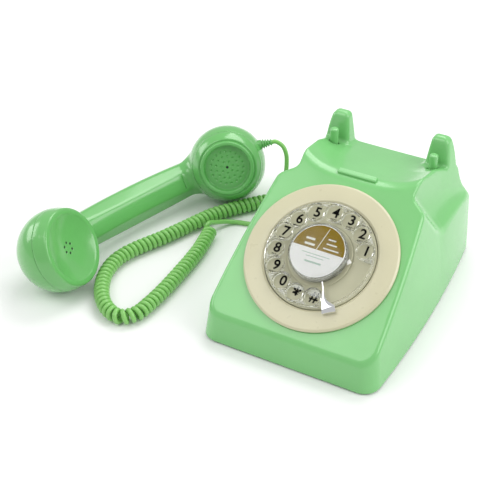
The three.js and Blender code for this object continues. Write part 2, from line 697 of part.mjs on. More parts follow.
// Ribbed sleeve where the cord enters the mouthpiece end.
const glandSeat = vec(0.66, 0.185, 0.728).normalize();
const glandWay = vec(0.66, -0.12, 0.66).normalize();
const glandSink = glandRadius * Math.sin(glandSeat.angleTo(glandWay));
const glandStart = vec(handsetSpan, 0, 0).addScaledVector(glandSeat, bulbRadius + gap)
  .addScaledVector(glandWay, glandSink);
function makeGland() {
  const profile = [[0, 0]];
  const ribs = 4;
  for (let i = 0; i < ribs; i += 1) {
    const radius = glandRadius - 0.5 * i;
    const z = glandLength * i / ribs;
    profile.push([radius, z], [radius, z + 2.2], [radius - 0.9, z + 2.2], [radius - 0.9, z + glandLength / ribs]);
  }
  profile.push([0, glandLength]);
  const gland = turned(profile, 12);
  gland.applyQuaternion(new THREE.Quaternion().setFromUnitVectors(vec(0, 0, 1), glandWay));
  return inHandset(gland.translate(glandStart.x, glandStart.y, glandStart.z));
}

// ---------------------------------------------------------------- the cord
// A round cord along hand-chosen points.
function cordAlong(points, radius, sides, steps) {
  const path = new THREE.CatmullRomCurve3(points, false, 'centripetal');
  const section = new THREE.Shape();
  section.absarc(0, 0, radius, 0, 2 * Math.PI, false);
  return new THREE.ExtrudeGeometry(section, {
    steps, extrudePath: path, curveSegments: sides / 2, bevelEnabled: false,
  });
}

const glandEnd = glandStart.clone().addScaledVector(glandWay, glandLength + gap).applyMatrix4(handsetFrame);
const glandHeading = glandWay.clone().transformDirection(handsetFrame);
const coilRoute = [
  [-103, 181], [-111, 172.5], [-119.3, 162.5], [-128.4, 150], [-138, 136], [-145, 119], [-151.5, 102], [-158, 86], [-165, 71.5],
  [-171, 57], [-173.8, 41], [-171, 24], [-164, 9], [-154.5, -3.5], [-143, -12], [-131, -14.5], [-122.5, -6.5],
  [-120, 9], [-119.3, 29], [-120, 50], [-121, 70], [-123, 90], [-128, 115],
];
const coilPoints = coilRoute.map(([x, y]) => vec(x, y, coilZ));
const coilStart = coilPoints[0];
const coilEnd = coilPoints.at(-1);
const handsetTailPoints = [
  glandEnd, glandEnd.clone().add(glandHeading.clone().multiplyScalar(2)), vec(-105.5, 200, 50),
  vec(-101.5, 199.5, 43.5), vec(-100, 198, 34), vec(-99, 193.5, 22),
  vec(-98.4, 188.5, 12.5), vec(-99.8, 184.8, 7.8), coilStart.clone().add(vec(0.9, 1.1, 0)),
];
const grommetFace = vec(-halfWidth(grommetY, grommetZ) - 2.5 - gap, grommetY, grommetZ);
const baseTailPoints = [
  coilEnd.clone().add(vec(-0.3, 1.4, 0)), vec(-130.8, 123, 5.6), vec(-127.5, 132.5, 3.6), vec(-115, 139.5, 2.2),
  vec(-101, 145, 2.2), vec(-88, 152, 4.2), vec(-79.5, 158.5, 8.6), grommetFace.clone().add(vec(-2.5, 0, 0)), grommetFace,
];

// ---------------------------------------------------------------- materials
const paint = (color, roughness, metalness = 0) => ({ color, roughness, metalness });
const green = paint(0x8fd093, 0.3);
const handsetGreen = paint(0x74c478, 0.28);
const cream = paint(0xe0dcc0, 0.35);
const grey = paint(0xa9aa9c, 0.4);
const clear = { ...paint(0xe8ece6, 0.1), transparent: true, opacity: 0.35 };
const gold = paint(0x9e901e, 0.4);
const chrome = paint(0xd8dadb, 0.12, 1);
const steel = paint(0x9a9c9e, 0.35, 1);
const brass = paint(0xb8953f, 0.3, 1);
const rubber = paint(0x2a2a2a, 0.8);
const boardGreen = paint(0x2f6b3a, 0.5);
const black = paint(0x1c1c1e, 0.4);
const copper = paint(0xb06a3a, 0.4, 1);

// ---------------------------------------------------------------- assembly
const telephone = new THREE.Group();
const dial = new THREE.Group();
dial.applyMatrix4(dialFrame);
telephone.add(dial);
const cordNodes = [];

function add(group, name, geometry, look) {
  const mesh = new THREE.Mesh(geometry, new THREE.MeshStandardMaterial(look));
  mesh.name = name;
  group.add(mesh);
  return mesh;
}

add(telephone, 'case_shell', makeCase(), green);
add(telephone, 'slope_cover_tab', rotatedTab(0), green);
add(telephone, 'base_plate', makeBasePlate(), steel);
screwPlaces.forEach((place, i) => add(telephone, `case_screw_${i + 1}`, makeScrew(place), steel));
footPlaces.forEach((place, i) => add(telephone, `foot_${i + 1}`, makeFoot(place), rubber));

add(dial, 'dial_plate', makeDialPlate(), cream);
add(dial, 'number_ring', makeNumberRing(), grey);
add(dial, 'dial_housing', makeHousing(), steel);
add(dial, 'finger_wheel', makeWheel(), clear);
add(dial, 'label_card', makeLabelCard(), gold);
add(dial, 'label_cover', makeLabelCover(), clear);
add(dial, 'finger_stop', makeFingerStop(), chrome);
add(dial, 'dial_spindle', makeSpindle(), steel);
add(dial, 'dial_gear', makeMainGear(), brass);
add(dial, 'governor_pinion', makePinion(), brass);
add(dial, 'governor_weights', cut(makeGovernorWeights(), governorBore(-30, 0)), steel);
add(dial, 'governor_drum', makeGovernorDrum(), steel);
add(dial, 'return_spring', makeReturnSpring(), steel);
add(dial, 'pulse_cam', makePulseCam(), black);
add(dial, 'pulse_contacts', makePulseContacts(), brass);

for (const [side, word] of [[-1, 'left'], [1, 'right']]) {
  add(telephone, `hook_plunger_${word}`, makePlunger(side), green);
  add(telephone, `gong_${word}`, makeGong(side), brass);
  add(telephone, `gong_post_${word}`, makeGongPost(side), steel);
  add(telephone, `gong_nut_${word}`, makeGongNut(side), steel);
}
add(telephone, 'hook_bracket', makeHookBracket(), steel);
add(telephone, 'hook_pin', makeHookPin(), steel);
add(telephone, 'hook_lever', makeHookLever(), steel);
add(telephone, 'hook_switch', makeHookSwitch(), black);
add(telephone, 'switch_button', makeSwitchButton(), steel);
add(telephone, 'ringer_frame', makeRingerFrame(), steel);
add(telephone, 'ringer_coil', makeRingerCoil(), copper);
add(telephone, 'clapper', makeClapper(), steel);
add(telephone, 'clapper_pin', makeClapperPin(), steel);
add(telephone, 'circuit_board', makeBoard(), boardGreen);
boardPlaces.forEach((place, i) => add(telephone, `board_standoff_${i + 1}`, makeStandoff(place), steel));
add(telephone, 'board_chip', makeChip(), black);
add(telephone, 'board_capacitor', makeCapacitor(), black);
add(telephone, 'terminal_block', makeTerminals(), black);
add(telephone, 'line_socket', makeSocket(), black);
add(telephone, 'cord_grommet', makeGrommet(), handsetGreen);

add(telephone, 'handset_handle', makeHandle(), handsetGreen);
add(telephone, 'earpiece_cap', makeEarCap(), handsetGreen);
add(telephone, 'mouthpiece_cap', makeMouthCap(), handsetGreen);
add(telephone, 'receiver_capsule', makeReceiver(), black);
add(telephone, 'transmitter_capsule', makeTransmitter(), black);
add(telephone, 'handset_gland', makeGland(), handsetGreen);

cordNodes.push(add(telephone, 'handset_cord_tail', cordAlong(handsetTailPoints, cordRadius, 8, 24), handsetGreen));
cordNodes.push(add(telephone, 'handset_cord_coil', cordAlong(coilPoints, coilRadius, 10, 34), handsetGreen));
cordNodes.push(add(telephone, 'base_cord_tail', cordAlong(baseTailPoints, cordRadius, 8, 20), handsetGreen));

// The footprint's middle, without the cord, becomes the origin.
telephone.updateMatrixWorld(true);
const footprint = new THREE.Box3();
telephone.traverse((piece) => {
  if (piece.isMesh && !cordNodes.includes(piece)) footprint.expandByObject(piece, true);
});
const middle = footprint.getCenter(vec(0, 0, 0));
telephone.position.set(-middle.x, -middle.y, 0);
telephone.updateMatrixWorld(true);

export default telephone;
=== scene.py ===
# Desk telephone with a turning dial, its handset lying off the hook on a curly cord.
# Shapes are worked out in the design frame of the part: millimetres, middle plane x = 0,
# front bottom edge y = 0, table z = 0. Row frame = design frame + shift, in metres.
import math

import bmesh
import bpy
import numpy as np
from mathutils import Matrix, Vector
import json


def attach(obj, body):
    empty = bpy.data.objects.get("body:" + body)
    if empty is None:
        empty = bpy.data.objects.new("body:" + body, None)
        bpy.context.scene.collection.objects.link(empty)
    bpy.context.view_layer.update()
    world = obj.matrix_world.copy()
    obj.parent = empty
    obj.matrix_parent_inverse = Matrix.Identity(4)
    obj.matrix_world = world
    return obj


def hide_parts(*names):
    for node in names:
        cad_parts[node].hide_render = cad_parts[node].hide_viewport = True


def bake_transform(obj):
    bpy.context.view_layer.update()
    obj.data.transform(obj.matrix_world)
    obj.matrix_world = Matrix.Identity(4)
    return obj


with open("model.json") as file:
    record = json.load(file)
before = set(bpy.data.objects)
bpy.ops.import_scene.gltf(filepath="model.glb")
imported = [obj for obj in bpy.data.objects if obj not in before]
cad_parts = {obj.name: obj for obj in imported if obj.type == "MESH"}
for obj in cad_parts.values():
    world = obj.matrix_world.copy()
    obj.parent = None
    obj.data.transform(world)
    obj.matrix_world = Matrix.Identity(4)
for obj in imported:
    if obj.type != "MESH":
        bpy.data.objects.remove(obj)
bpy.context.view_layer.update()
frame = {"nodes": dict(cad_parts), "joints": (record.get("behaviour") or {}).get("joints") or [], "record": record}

# ---------------------------------------------------------------- driving sizes (mm)
CASE_DEPTH = 212
CASE_HALF_WIDTH = 69.8     # at the front, at the table
CASE_SPREAD = 0.0786       # its growth for each millimetre towards the rear
CASE_SPREAD_LOSS = 0.0005
SIDE_LEAN = 0.11           # how far a side leans in for each millimetre of height
SIDE_LEAN_LOSS = 0.06      # less of it at the rear
SIDE_CURVE = 0.0004
CASE_LIFT = 1
WALL = 2.6
SLOPE_ANGLE = math.radians(33.3)
BAND_HEIGHT = 25           # of the upright band under the slope
FRONT_LEAN = 2.7
RIDGE_Y = 115              # where the slope meets the cradle
CRADLE_END_Y = 187
CRADLE_FALL = 0.22
EAR_X = 40
EAR_TOP_Z = 112
EAR_FRONT_Y = 172
EAR_BACK_Y = 184
SCREWS = [(50, 24), (-50, 24), (45, 192), (-45, 192)]
SOCKET_X = 25
SOCKET_Z = 16
GROMMET_Y = 160
GROMMET_Z = 10
PLUNGER_X = 41.5
PLUNGER_Y = 164.5
PLUNGER_RADIUS = 3.4
PLUNGER_TOP = 103
LEVER_TOP = 68.8

DIAL_Y = 58                # the heights below are over the slope, along the dial's axis
PLATE_RADIUS = 58
PLATE_BORE = 42.1
PLATE_TOP = 3.3
PLATE_RISE = 0.8
RING_TOP = 3.3
WHEEL_RADIUS = 40.8
WHEEL_BOTTOM = 5.4
WHEEL_TOP = 7.8
WEB_DROP = 0.6             # of the wheel's flat web under its rim and collars
COLLAR_WIDTH = 1.1
RIM_WIDTH = 1.2
HUB_RADIUS = 21.7
HUB_TOP = 11.2
HUB_WALL = 1.8
HOLE_RADIUS = 6.1
HOLE_RING = 33.4
HOLE_PITCH = 24            # degrees
FIRST_HOLE = 21
STOP_ANGLE = -60
STOP_TIP = 23
LABEL_RADIUS = 20.3
CARD_THICKNESS = 0.35
DIGITS = "1234567890*#"
LETTERS = ["", "ABC", "DEF", "GHI", "JKL", "MNO", "PQRS", "TUV", "WXYZ", "", "", ""]
DIGIT_SIZE = 10.8
STAR_SIZE = 14
LETTER_SIZE = 2.5

BULB_RADIUS = 33           # both ends of the handset
HANDSET_SPAN = 179         # from the middle of one end to the middle of the other
HANDSET_X = -197.8         # middle of the earpiece end
HANDSET_Y = 4.6
HANDSET_WAY = (0.2876, 0.9577, 0)
HANDSET_LIE = math.radians(29.5)
EAR_TILT = math.radians(21.5)
MOUTH_TILT = math.radians(-39.5)
EAR_FACE = 14
EAR_HOLLOW = 4.9
EAR_SEAM = 2.5
MOUTH_SEAM = 14
MOUTH_RING = 20.9
MOUTH_RECESS = 5
GRIP_HALF_WIDTH = 13.3
GRIP_SWELL = 2.7           # more half width at its middle
GRIP_HALF_DEPTH = 10
GRIP_DEPTH_SWELL = 2
GRIP_DROP = 20             # of its middle line, away from the caps
GRIP_ARCH = 7
GRIP_FACET = 13.1
GRIP_FACET_FADE = 2.2
GLAND_LENGTH = 9
GLAND_RADIUS = 4.2
GLAND_RIBS = 4
COIL_RADIUS = 6.3
COIL_Z = 6.5
COIL_TURN_PITCH = 4.5
WIRE_RADIUS = 1.95

tan_slope = math.tan(SLOPE_ANGLE)
dial_z = BAND_HEIGHT + (DIAL_Y - FRONT_LEAN) * tan_slope
dial_pin = next(j for j in frame["joints"] if j["name"] == "dial_turn")["pos_m"]
shift = Vector(dial_pin) * 1000 - Vector((0, DIAL_Y, dial_z))


# ---------------------------------------------------------------- camera
AZIMUTH = math.radians(29.05)
ELEVATION = math.radians(36.36)
ROLL = math.radians(-0.33)
LENS = 80.83
CAMERA_PLACE = (0.35058, -0.62873, 0.54817)
camera_data = bpy.data.cameras.new("camera")
camera_data.lens = LENS
camera_data.sensor_width = 36
camera = bpy.data.objects.new("camera", camera_data)
bpy.context.scene.collection.objects.link(camera)
back = Vector((
    math.sin(AZIMUTH) * math.cos(ELEVATION),
    -math.cos(AZIMUTH) * math.cos(ELEVATION),
    math.sin(ELEVATION),
))
flat_right = Vector((math.cos(AZIMUTH), math.sin(AZIMUTH), 0))
flat_up = back.cross(flat_right)
right = math.cos(ROLL) * flat_right + math.sin(ROLL) * flat_up
up = math.cos(ROLL) * flat_up - math.sin(ROLL) * flat_right
look = Matrix((right, up, back)).transposed().to_4x4()
look.translation = CAMERA_PLACE
camera.matrix_world = look
bpy.context.scene.camera = camera


# ---------------------------------------------------------------- materials
def shader(name, color, roughness, metallic=0.0, coat=0.0, **more):
    """A principled material whose colour, roughness and surface vary a little with noise."""
    material = bpy.data.materials.new(name)
    material.use_nodes = True
    tree = material.node_tree
    nodes, links = tree.nodes, tree.links
    bsdf = nodes["Principled BSDF"]
    bsdf.inputs["Metallic"].default_value = metallic
    bsdf.inputs["Coat Weight"].default_value = coat
    bsdf.inputs["Coat Roughness"].default_value = 0.06
    bsdf.inputs["IOR"].default_value = more.get("ior", 1.5)
    bsdf.inputs["Transmission Weight"].default_value = more.get("transmission", 0.0)
    bsdf.inputs["Sheen Weight"].default_value = more.get("sheen", 0.0)
    place = nodes.new("ShaderNodeTexCoord").outputs["Object"]

    def noise(scale, detail=3.0):
        node = nodes.new("ShaderNodeTexNoise")
        node.inputs["Scale"].default_value = scale
        node.inputs["Detail"].default_value = detail
        links.new(place, node.inputs["Vector"])
        return node.outputs["Fac"]

    def span(value, low, high):
        node = nodes.new("ShaderNodeMapRange")
        node.inputs["From Min"].default_value = 0.3
        node.inputs["From Max"].default_value = 0.7
        node.inputs["To Min"].default_value = low
        node.inputs["To Max"].default_value = high
        links.new(value, node.inputs["Value"])
        return node.outputs["Result"]

    vary = more.get("vary", 0.03)
    tint = nodes.new("ShaderNodeHueSaturation")
    tint.inputs["Color"].default_value = (*color, 1)
    links.new(span(noise(more.get("patch", 25)), 1 - vary, 1 + vary), tint.inputs["Value"])
    links.new(tint.outputs["Color"], bsdf.inputs["Base Color"])
    spread = more.get("rough_vary", 0.03)
    links.new(span(noise(180), roughness - spread, roughness + spread), bsdf.inputs["Roughness"])
    bump = nodes.new("ShaderNodeBump")
    bump.inputs["Strength"].default_value = more.get("bump", 0.05)
    bump.inputs["Distance"].default_value = 0.0002
    links.new(noise(more.get("grain", 900), 2), bump.inputs["Height"])
    links.new(bump.outputs["Normal"], bsdf.inputs["Normal"])
    return material


def srgb(r, g, b):
    """Linear colour of three 0 to 255 screen values."""
    def linear(v):
        v /= 255
        return v / 12.92 if v <= 0.04045 else ((v + 0.055) / 1.055) ** 2.4
    return linear(r), linear(g), linear(b)


look_of = {
    "case_green": shader("case_green", srgb(120, 192, 117), 0.24, coat=0.35),
    "handset_green": shader("handset_green", srgb(104, 178, 98), 0.2, coat=0.45),
    "cord_green": shader("cord_green", srgb(132, 195, 104), 0.32, coat=0.2, grain=1500),
    "cream": shader("cream", srgb(202, 198, 166), 0.3, coat=0.2),
    "ring_grey": shader("ring_grey", srgb(184, 183, 153), 0.38, vary=0.04),
    "clear_plastic": shader("clear_plastic", (0.97, 0.98, 0.96), 0.05, transmission=1.0, ior=1.3,
                            vary=0.005, rough_vary=0.01, bump=0.01),
    "label": shader("label", srgb(252, 252, 252), 0.55, vary=0.01),
    "gold": shader("gold", srgb(150, 122, 8), 0.6, ior=1.2, vary=0.05, patch=60),
    "print_white": shader("print_white", srgb(244, 244, 238), 0.55, vary=0.01),
    "print_grey": shader("print_grey", srgb(178, 200, 188), 0.55, vary=0.01),
    "print_black": shader("print_black", srgb(8, 8, 8), 0.7, ior=1.1, vary=0.05),
    "chrome": shader("chrome", (0.86, 0.87, 0.88), 0.07, 1.0, vary=0.02, rough_vary=0.02, bump=0.02),
    "steel": shader("steel", (0.55, 0.56, 0.57), 0.34, 1.0, vary=0.06, rough_vary=0.08),
    "brass": shader("brass", (0.72, 0.56, 0.28), 0.3, 1.0, vary=0.06, rough_vary=0.08),
    "copper": shader("copper", (0.62, 0.32, 0.16), 0.38, 1.0, vary=0.08, grain=3000, bump=0.4),
    "rubber": shader("rubber", srgb(40, 40, 40), 0.75, vary=0.1, bump=0.3),
    "board": shader("board", srgb(46, 104, 58), 0.5, vary=0.08),
    "black_plastic": shader("black_plastic", srgb(26, 26, 28), 0.42, vary=0.08),
    # painted shade: near-black green for the shadowed insides of the handset's holes
    "hole_dark": shader("hole_dark", srgb(20, 40, 22), 0.6, vary=0.05),
}

slot_of = {s["node"]: s["material_slot"] for s in frame["record"]["subparts"]}
for node_name, node in frame["nodes"].items():
    node.data.materials.clear()
    node.data.materials.append(look_of[slot_of[node_name]])


def place(name, mesh, look_name, body, replaced=(), slot=None, smooth=True):
    """Puts a mesh made in design millimetres into the row frame, on a body."""
    mesh.transform(Matrix.Scale(0.001, 4) @ Matrix.Translation(shift))
    for face in mesh.polygons:
        face.use_smooth = smooth
    mesh.materials.append(look_of[look_name])
    piece = bpy.data.objects.new(name, mesh)
    bpy.context.scene.collection.objects.link(piece)
    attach(piece, body)
    if replaced:
        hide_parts(*replaced)
    return piece


def new_mesh(name, points, faces):
    mesh = bpy.data.meshes.new(name)
    mesh.from_pydata([tuple(map(float, p)) for p in points], [], [tuple(map(int, f)) for f in faces])
    mesh.validate()
    return mesh


def bevel(piece, width, segments=2, angle=30):
    mod = piece.modifiers.new("bevel", "BEVEL")
    mod.width = width / 1000
    mod.segments = segments
    mod.limit_method = "ANGLE"
    mod.angle_limit = math.radians(angle)
    mod.harden_normals = True
    return piece


def turned(name, profile, segments=96, closed=False):
    """Surface of revolution about Z through [radius, z] points, anticlockwise seen with r to the right."""
    points, faces = [], []
    rings = []
    for r, z in profile:
        if r < 1e-6:
            rings.append([len(points)] * segments)
            points.append((0, 0, z))
            continue
        start = len(points)
        rings.append(list(range(start, start + segments)))
        for i in range(segments):
            a = 2 * math.pi * i / segments
            points.append((r * math.cos(a), r * math.sin(a), z))
    pairs = list(zip(rings, rings[1:]))
    if closed:
        pairs.append((rings[-1], rings[0]))
    for low, high in pairs:
        for i in range(segments):
            j = (i + 1) % segments
            face = []
            for v in (low[i], low[j], high[j], high[i]):
                if v not in face:
                    face.append(v)
            if len(face) > 2:
                faces.append(face)
    return new_mesh(name, points, faces)


def rounded(profile, radius, steps=4, closed=False):
    """The profile with its corners replaced by arcs. A corner is [r, z] or [r, z, radius]."""
    count = len(profile)
    result = []
    for i, corner in enumerate(profile):
        here = np.array(corner[:2], float)
        size = corner[2] if len(corner) > 2 else radius
        if size <= 0 or (not closed and i in (0, count - 1)):
            result.append(tuple(here))
            continue
        before = np.array(profile[i - 1][:2], float) - here
        after = np.array(profile[(i + 1) % count][:2], float) - here
        la, lb = np.linalg.norm(before), np.linalg.norm(after)
        a, b = before / la, after / lb
        half = math.acos(max(-1, min(1, float(a @ b)))) / 2
        if half > math.radians(88):
            result.append(tuple(here))
            continue
        cut = min(size / math.tan(half), 0.48 * la, 0.48 * lb)
        p0, p1 = here + a * cut, here + b * cut
        for k in range(steps + 1):
            t = k / steps
            q = (1 - t) ** 2 * p0 + 2 * t * (1 - t) * here + t * t * p1
            result.append(tuple(q))
    return result


def skin(name, field, low, high, step):
    """Quads over the surface where a field is zero, sampled on a grid and then pulled onto it."""
    axes = [np.arange(a, b + step, step) for a, b in zip(low, high)]
    x, y, z = np.meshgrid(*axes, indexing="ij", sparse=True)
    value = np.asarray(field(x, y, z), np.float32) + np.zeros([len(a) for a in axes], np.float32)
    inside = value < 0
    cells = tuple(n - 1 for n in value.shape)
    total = np.zeros(cells + (3,), np.float32)
    count = np.zeros(cells, np.float32)
    edges = []
    for axis in range(3):
        lower = [slice(None)] * 3
        upper = [slice(None)] * 3
        lower[axis], upper[axis] = slice(0, -1), slice(1, None)
        va, vb = value[tuple(lower)], value[tuple(upper)]
        crossed = inside[tuple(lower)] != inside[tuple(upper)]
        share = np.where(crossed, va / np.where(crossed, va - vb, 1), 0)
        edges.append((crossed, inside[tuple(lower)]))
        others = [k for k in range(3) if k != axis]
        for da in (0, 1):
            for db in (0, 1):
                pick = [slice(None)] * 3
                pick[others[0]] = slice(da, da + cells[others[0]])
                pick[others[1]] = slice(db, db + cells[others[1]])
                hit = crossed[tuple(pick)]
                count += hit
                total[..., axis] += np.where(hit, share[tuple(pick)], 0)
                total[..., others[0]] += hit * da
                total[..., others[1]] += hit * db
    used = count > 0
    number = np.full(cells, -1, np.int64)
    number[used] = np.arange(used.sum())
    corner = np.argwhere(used)
    points = (corner + total[used] / count[used][:, None]) * step + np.array([a[0] for a in axes])
    faces = []
    for axis, (crossed, below) in enumerate(edges):
        p, q = [(1, 2), (2, 0), (0, 1)][axis]
        where = np.argwhere(crossed)
        ok = (where[:, p] > 0) & (where[:, q] > 0) & (where[:, p] < cells[p]) & (where[:, q] < cells[q])
        where = where[ok]
        ring = []
        for dp, dq in ((-1, -1), (0, -1), (0, 0), (-1, 0)):
            cell = where.copy()
            cell[:, p] += dp
            cell[:, q] += dq
            ring.append(number[tuple(cell.T)])
        quad = np.stack(ring, axis=1)
        flip = ~below[tuple(where.T)]
        quad[flip] = quad[flip][:, ::-1]
        faces.append(quad)
    faces = np.concatenate(faces)

    def slope_at(p, e=0.05):
        grad = np.zeros_like(p)
        for k in range(3):
            d = np.zeros(3)
            d[k] = e
            grad[:, k] = (field(*(p + d).T) - field(*(p - d).T)) / (2 * e)
        return grad

    for _ in range(4):
        g = slope_at(points)
        square = np.maximum((g * g).sum(1), 0.04)
        move = -(field(*points.T) / square)[:, None] * g
        size = np.linalg.norm(move, axis=1)
        move *= np.minimum(1, 0.5 * step / np.maximum(size, 1e-9))[:, None]
        points = points + 0.8 * move
    normals = slope_at(points, 0.1)
    normals /= np.maximum(np.linalg.norm(normals, axis=1), 1e-9)[:, None]
    mesh = new_mesh(name, points, faces)
    for face in mesh.polygons:
        face.use_smooth = True
    if len(mesh.vertices) == len(normals):
        mesh.normals_split_custom_set_from_vertices([tuple(map(float, n)) for n in normals])
    return mesh


def both(a, b, r):
    """Inside both fields, the outer edge rounded to a radius."""
    return np.minimum(np.maximum(a, b), -r) + np.hypot(np.maximum(a + r, 0), np.maximum(b + r, 0))


def either(a, b, r):
    """Inside either field, the inner corner filled to a radius."""
    return np.maximum(np.minimum(a, b), r) - np.hypot(np.maximum(r - a, 0), np.maximum(r - b, 0))


def less(a, b, r):
    """Inside the first field and outside the second."""
    return both(a, -b, r)


# ---------------------------------------------------------------- case
def slope_z(y):
    """Height of the dial's slope."""
    return BAND_HEIGHT + (y - FRONT_LEAN) * tan_slope


def half_width(y, z):
    """Half the case's width, which curves in towards the top."""
    base = CASE_HALF_WIDTH + CASE_SPREAD * y - CASE_SPREAD_LOSS * y * y
    rear = np.clip((y - 130) / 60, 0, 1)
    return base - (SIDE_LEAN - SIDE_LEAN_LOSS * rear) * z - SIDE_CURVE * (1 - 0.7 * rear) * z * z


def cradle_z(x, y):
    """Height of the cradle between the ears, which rises to both sides."""
    middle = slope_z(RIDGE_Y) - CRADLE_FALL * (y - RIDGE_Y)
    rise = 6.5 * (1 - np.clip((y - 150) / 32, 0, 1)) + 0.8
    return middle + rise * (np.minimum(np.abs(x), 47) / 46) ** 3.5


def line_side(y, z, y0, z0, y1, z1):
    """Distance of (y, z) to the left of the line from the first point to the second."""
    dy, dz = y1 - y0, z1 - z0
    return ((y - y0) * -dz + (z - z0) * dy) / math.hypot(dy, dz)


def recess_field(x, y, z):
    """Negative in the hollow at the side, under the cradle."""
    wide = np.abs(x)
    back = np.clip((y - 140) / 55, 0, 1)
    vx = 50 + 0.13 * (y - 135)
    vz = 75 - 0.28 * (y - 135) - 0.0025 * np.maximum(0, y - 165) ** 2
    top_x = 46 + 3 * np.clip((y - 160) / 24, 0, 1)
    fall = 1.25 - back
    lean = (top_x - vx) / (130 - vz)
    wall = (wide - vx - lean * (z - vz)) / np.sqrt(1 + lean * lean)
    floor = (z - vz + fall * (wide - vx)) / np.sqrt(1 + fall * fall)
    normal = Vector((0.62, 0.56, 0.55)).normalized()
    front_y = RIDGE_Y - 12
    front = normal.x * (wide - 59.5) + normal.y * (y - front_y) + normal.z * (z - slope_z(front_y))
    hollow = both(-wall, -floor, 7)
    return both(hollow, -front, 2.5)


def ear_field(x, y, z):
    """Both tapered fins behind the plungers: upright inside, leaning in outside and behind."""
    t = np.clip((z - 78) / (EAR_TOP_Z - 78), 0, 1)
    x0 = EAR_X - 8.5 + 3.5 * t ** 1.5
    x1 = EAR_X + 16 - 8.5 * t ** 1.6
    y0 = EAR_FRONT_Y - 3 + 5.5 * t
    y1 = EAR_BACK_Y + 3 * (1 - t)
    wide = np.abs(x)
    across = both(x0 - wide, wide - x1, 4.5)
    through = both(y0 - y, y - y1, 3)
    return both(both(across, through, 3.2), np.maximum(z - EAR_TOP_Z, 76 - z), 4)


def case_outside(x, y, z):
    """Negative inside the case's outer surface."""
    sides = np.abs(x) - half_width(y, z)
    front = (FRONT_LEAN * z / BAND_HEIGHT - y) * 0.994
    rear = y - (CASE_DEPTH - 0.03 * z)
    walls = both(both(sides, front, 12), rear, 12)
    slope = (z - slope_z(y)) * math.cos(SLOPE_ANGLE)
    top = z - cradle_z(x, y)
    top = both(slope, top, 4.5)
    upper = y - CRADLE_END_Y
    shoulder = line_side(y, z, 187, 83, 200, 58)
    low_rear = line_side(y, z, 196, 55.5, 232, 40)
    behind = either(either(upper, shoulder, 6), low_rear, 10)
    body = both(walls, behind, 8)
    body = both(body, top, 3)
    body = either(body, ear_field(x, y, z), 4)
    return less(body, recess_field(x, y, z), 2.2)


def dial_local(x, y, z):
    """Distance from the dial's axis and height over the slope."""
    c, s = math.cos(SLOPE_ANGLE), math.sin(SLOPE_ANGLE)
    dy, dz = y - DIAL_Y, z - dial_z
    across = c * dy + s * dz
    return np.hypot(x, across), -s * dy + c * dz


def case_field(x, y, z):
    """The hollow case with its screw posts, and its openings for dial, plungers, socket and cord."""
    outside = case_outside(x, y, z)
    cavity = outside + WALL
    for sx, sy in SCREWS:
        post = np.hypot(x - sx, y - sy) - 4
        cavity = less(cavity, np.maximum(post, 4.3 - z), 0.5)
    shell = both(outside, CASE_LIFT - z, 1)
    shell = less(shell, cavity, 0.6)
    radius, height = dial_local(x, y, z)
    shell = less(shell, np.maximum(radius - PLATE_BORE - 1, np.abs(height) - 12), 0.6)
    wide = np.abs(x)
    plunger = np.hypot(wide - PLUNGER_X, y - PLUNGER_Y) - PLUNGER_RADIUS - 0.6
    shell = less(shell, np.maximum(plunger, np.maximum(60 - z, z - 98)), 0.6)
    plug = np.maximum(np.abs(x - SOCKET_X) - 7.3, np.maximum(np.abs(z - SOCKET_Z) - 7.3, 200 - y))
    shell = less(shell, plug, 0.6)
    grommet = np.maximum(np.hypot(y - GROMMET_Y, z - GROMMET_Z) - 4.8, x + 60)
    return less(shell, grommet, 0.6)


case_step = 1.25
case = place("case", skin("case", case_field, (-76, -3, -1), (76, 215, 115), case_step),
             "case_green", "telephone_body", ["case_shell"])


def slab_field(half, r):
    """Field of a rounded box about the origin."""
    def field(x, y, z):
        gap = [np.abs(v) - h + r for v, h in zip((x, y, z), half)]
        outer = np.sqrt(sum(np.maximum(g, 0) ** 2 for g in gap))
        return outer + np.minimum(np.maximum(np.maximum(gap[0], gap[1]), gap[2]), 0) - r
    return field


tab = skin("tab", slab_field((15.6, 2.4, 1.2), 0.8), (-17, -4, -3), (17, 4, 3), 0.5)
tab.transform(Matrix.Translation((0, RIDGE_Y + 2, slope_z(RIDGE_Y) - 0.1))
              @ Matrix.Rotation(SLOPE_ANGLE * 0.5, 4, "X"))
place("cradle_tab", tab, "case_green", "telephone_body", ["slope_cover_tab"])

# Plungers: a rounded head on a stem.
shoulder_z = float(cradle_z(PLUNGER_X, PLUNGER_Y)) - 7.4
for side, word in ((-1, "left"), (1, "right")):
    profile = rounded([
        [0, LEVER_TOP], [1.8, LEVER_TOP], [1.8, shoulder_z - 1.5], [PLUNGER_RADIUS, shoulder_z],
        [PLUNGER_RADIUS, PLUNGER_TOP, 2.8], [0, PLUNGER_TOP],
    ], 0.4, 6)
    plunger = turned(f"plunger_{word}", profile, 48)
    plunger.transform(Matrix.Translation((side * PLUNGER_X, PLUNGER_Y, 0)))
    place(f"plunger_{word}", plunger, "case_green", f"plunger_{word}", [f"hook_plunger_{word}"])


# ---------------------------------------------------------------- dial
dial_matrix = Matrix.Translation((0, DIAL_Y, dial_z)) @ Matrix.Rotation(SLOPE_ANGLE, 4, "X")


def on_dial(mesh, turn=0.0):
    mesh.transform(dial_matrix @ Matrix.Rotation(turn, 4, "Z"))
    return mesh


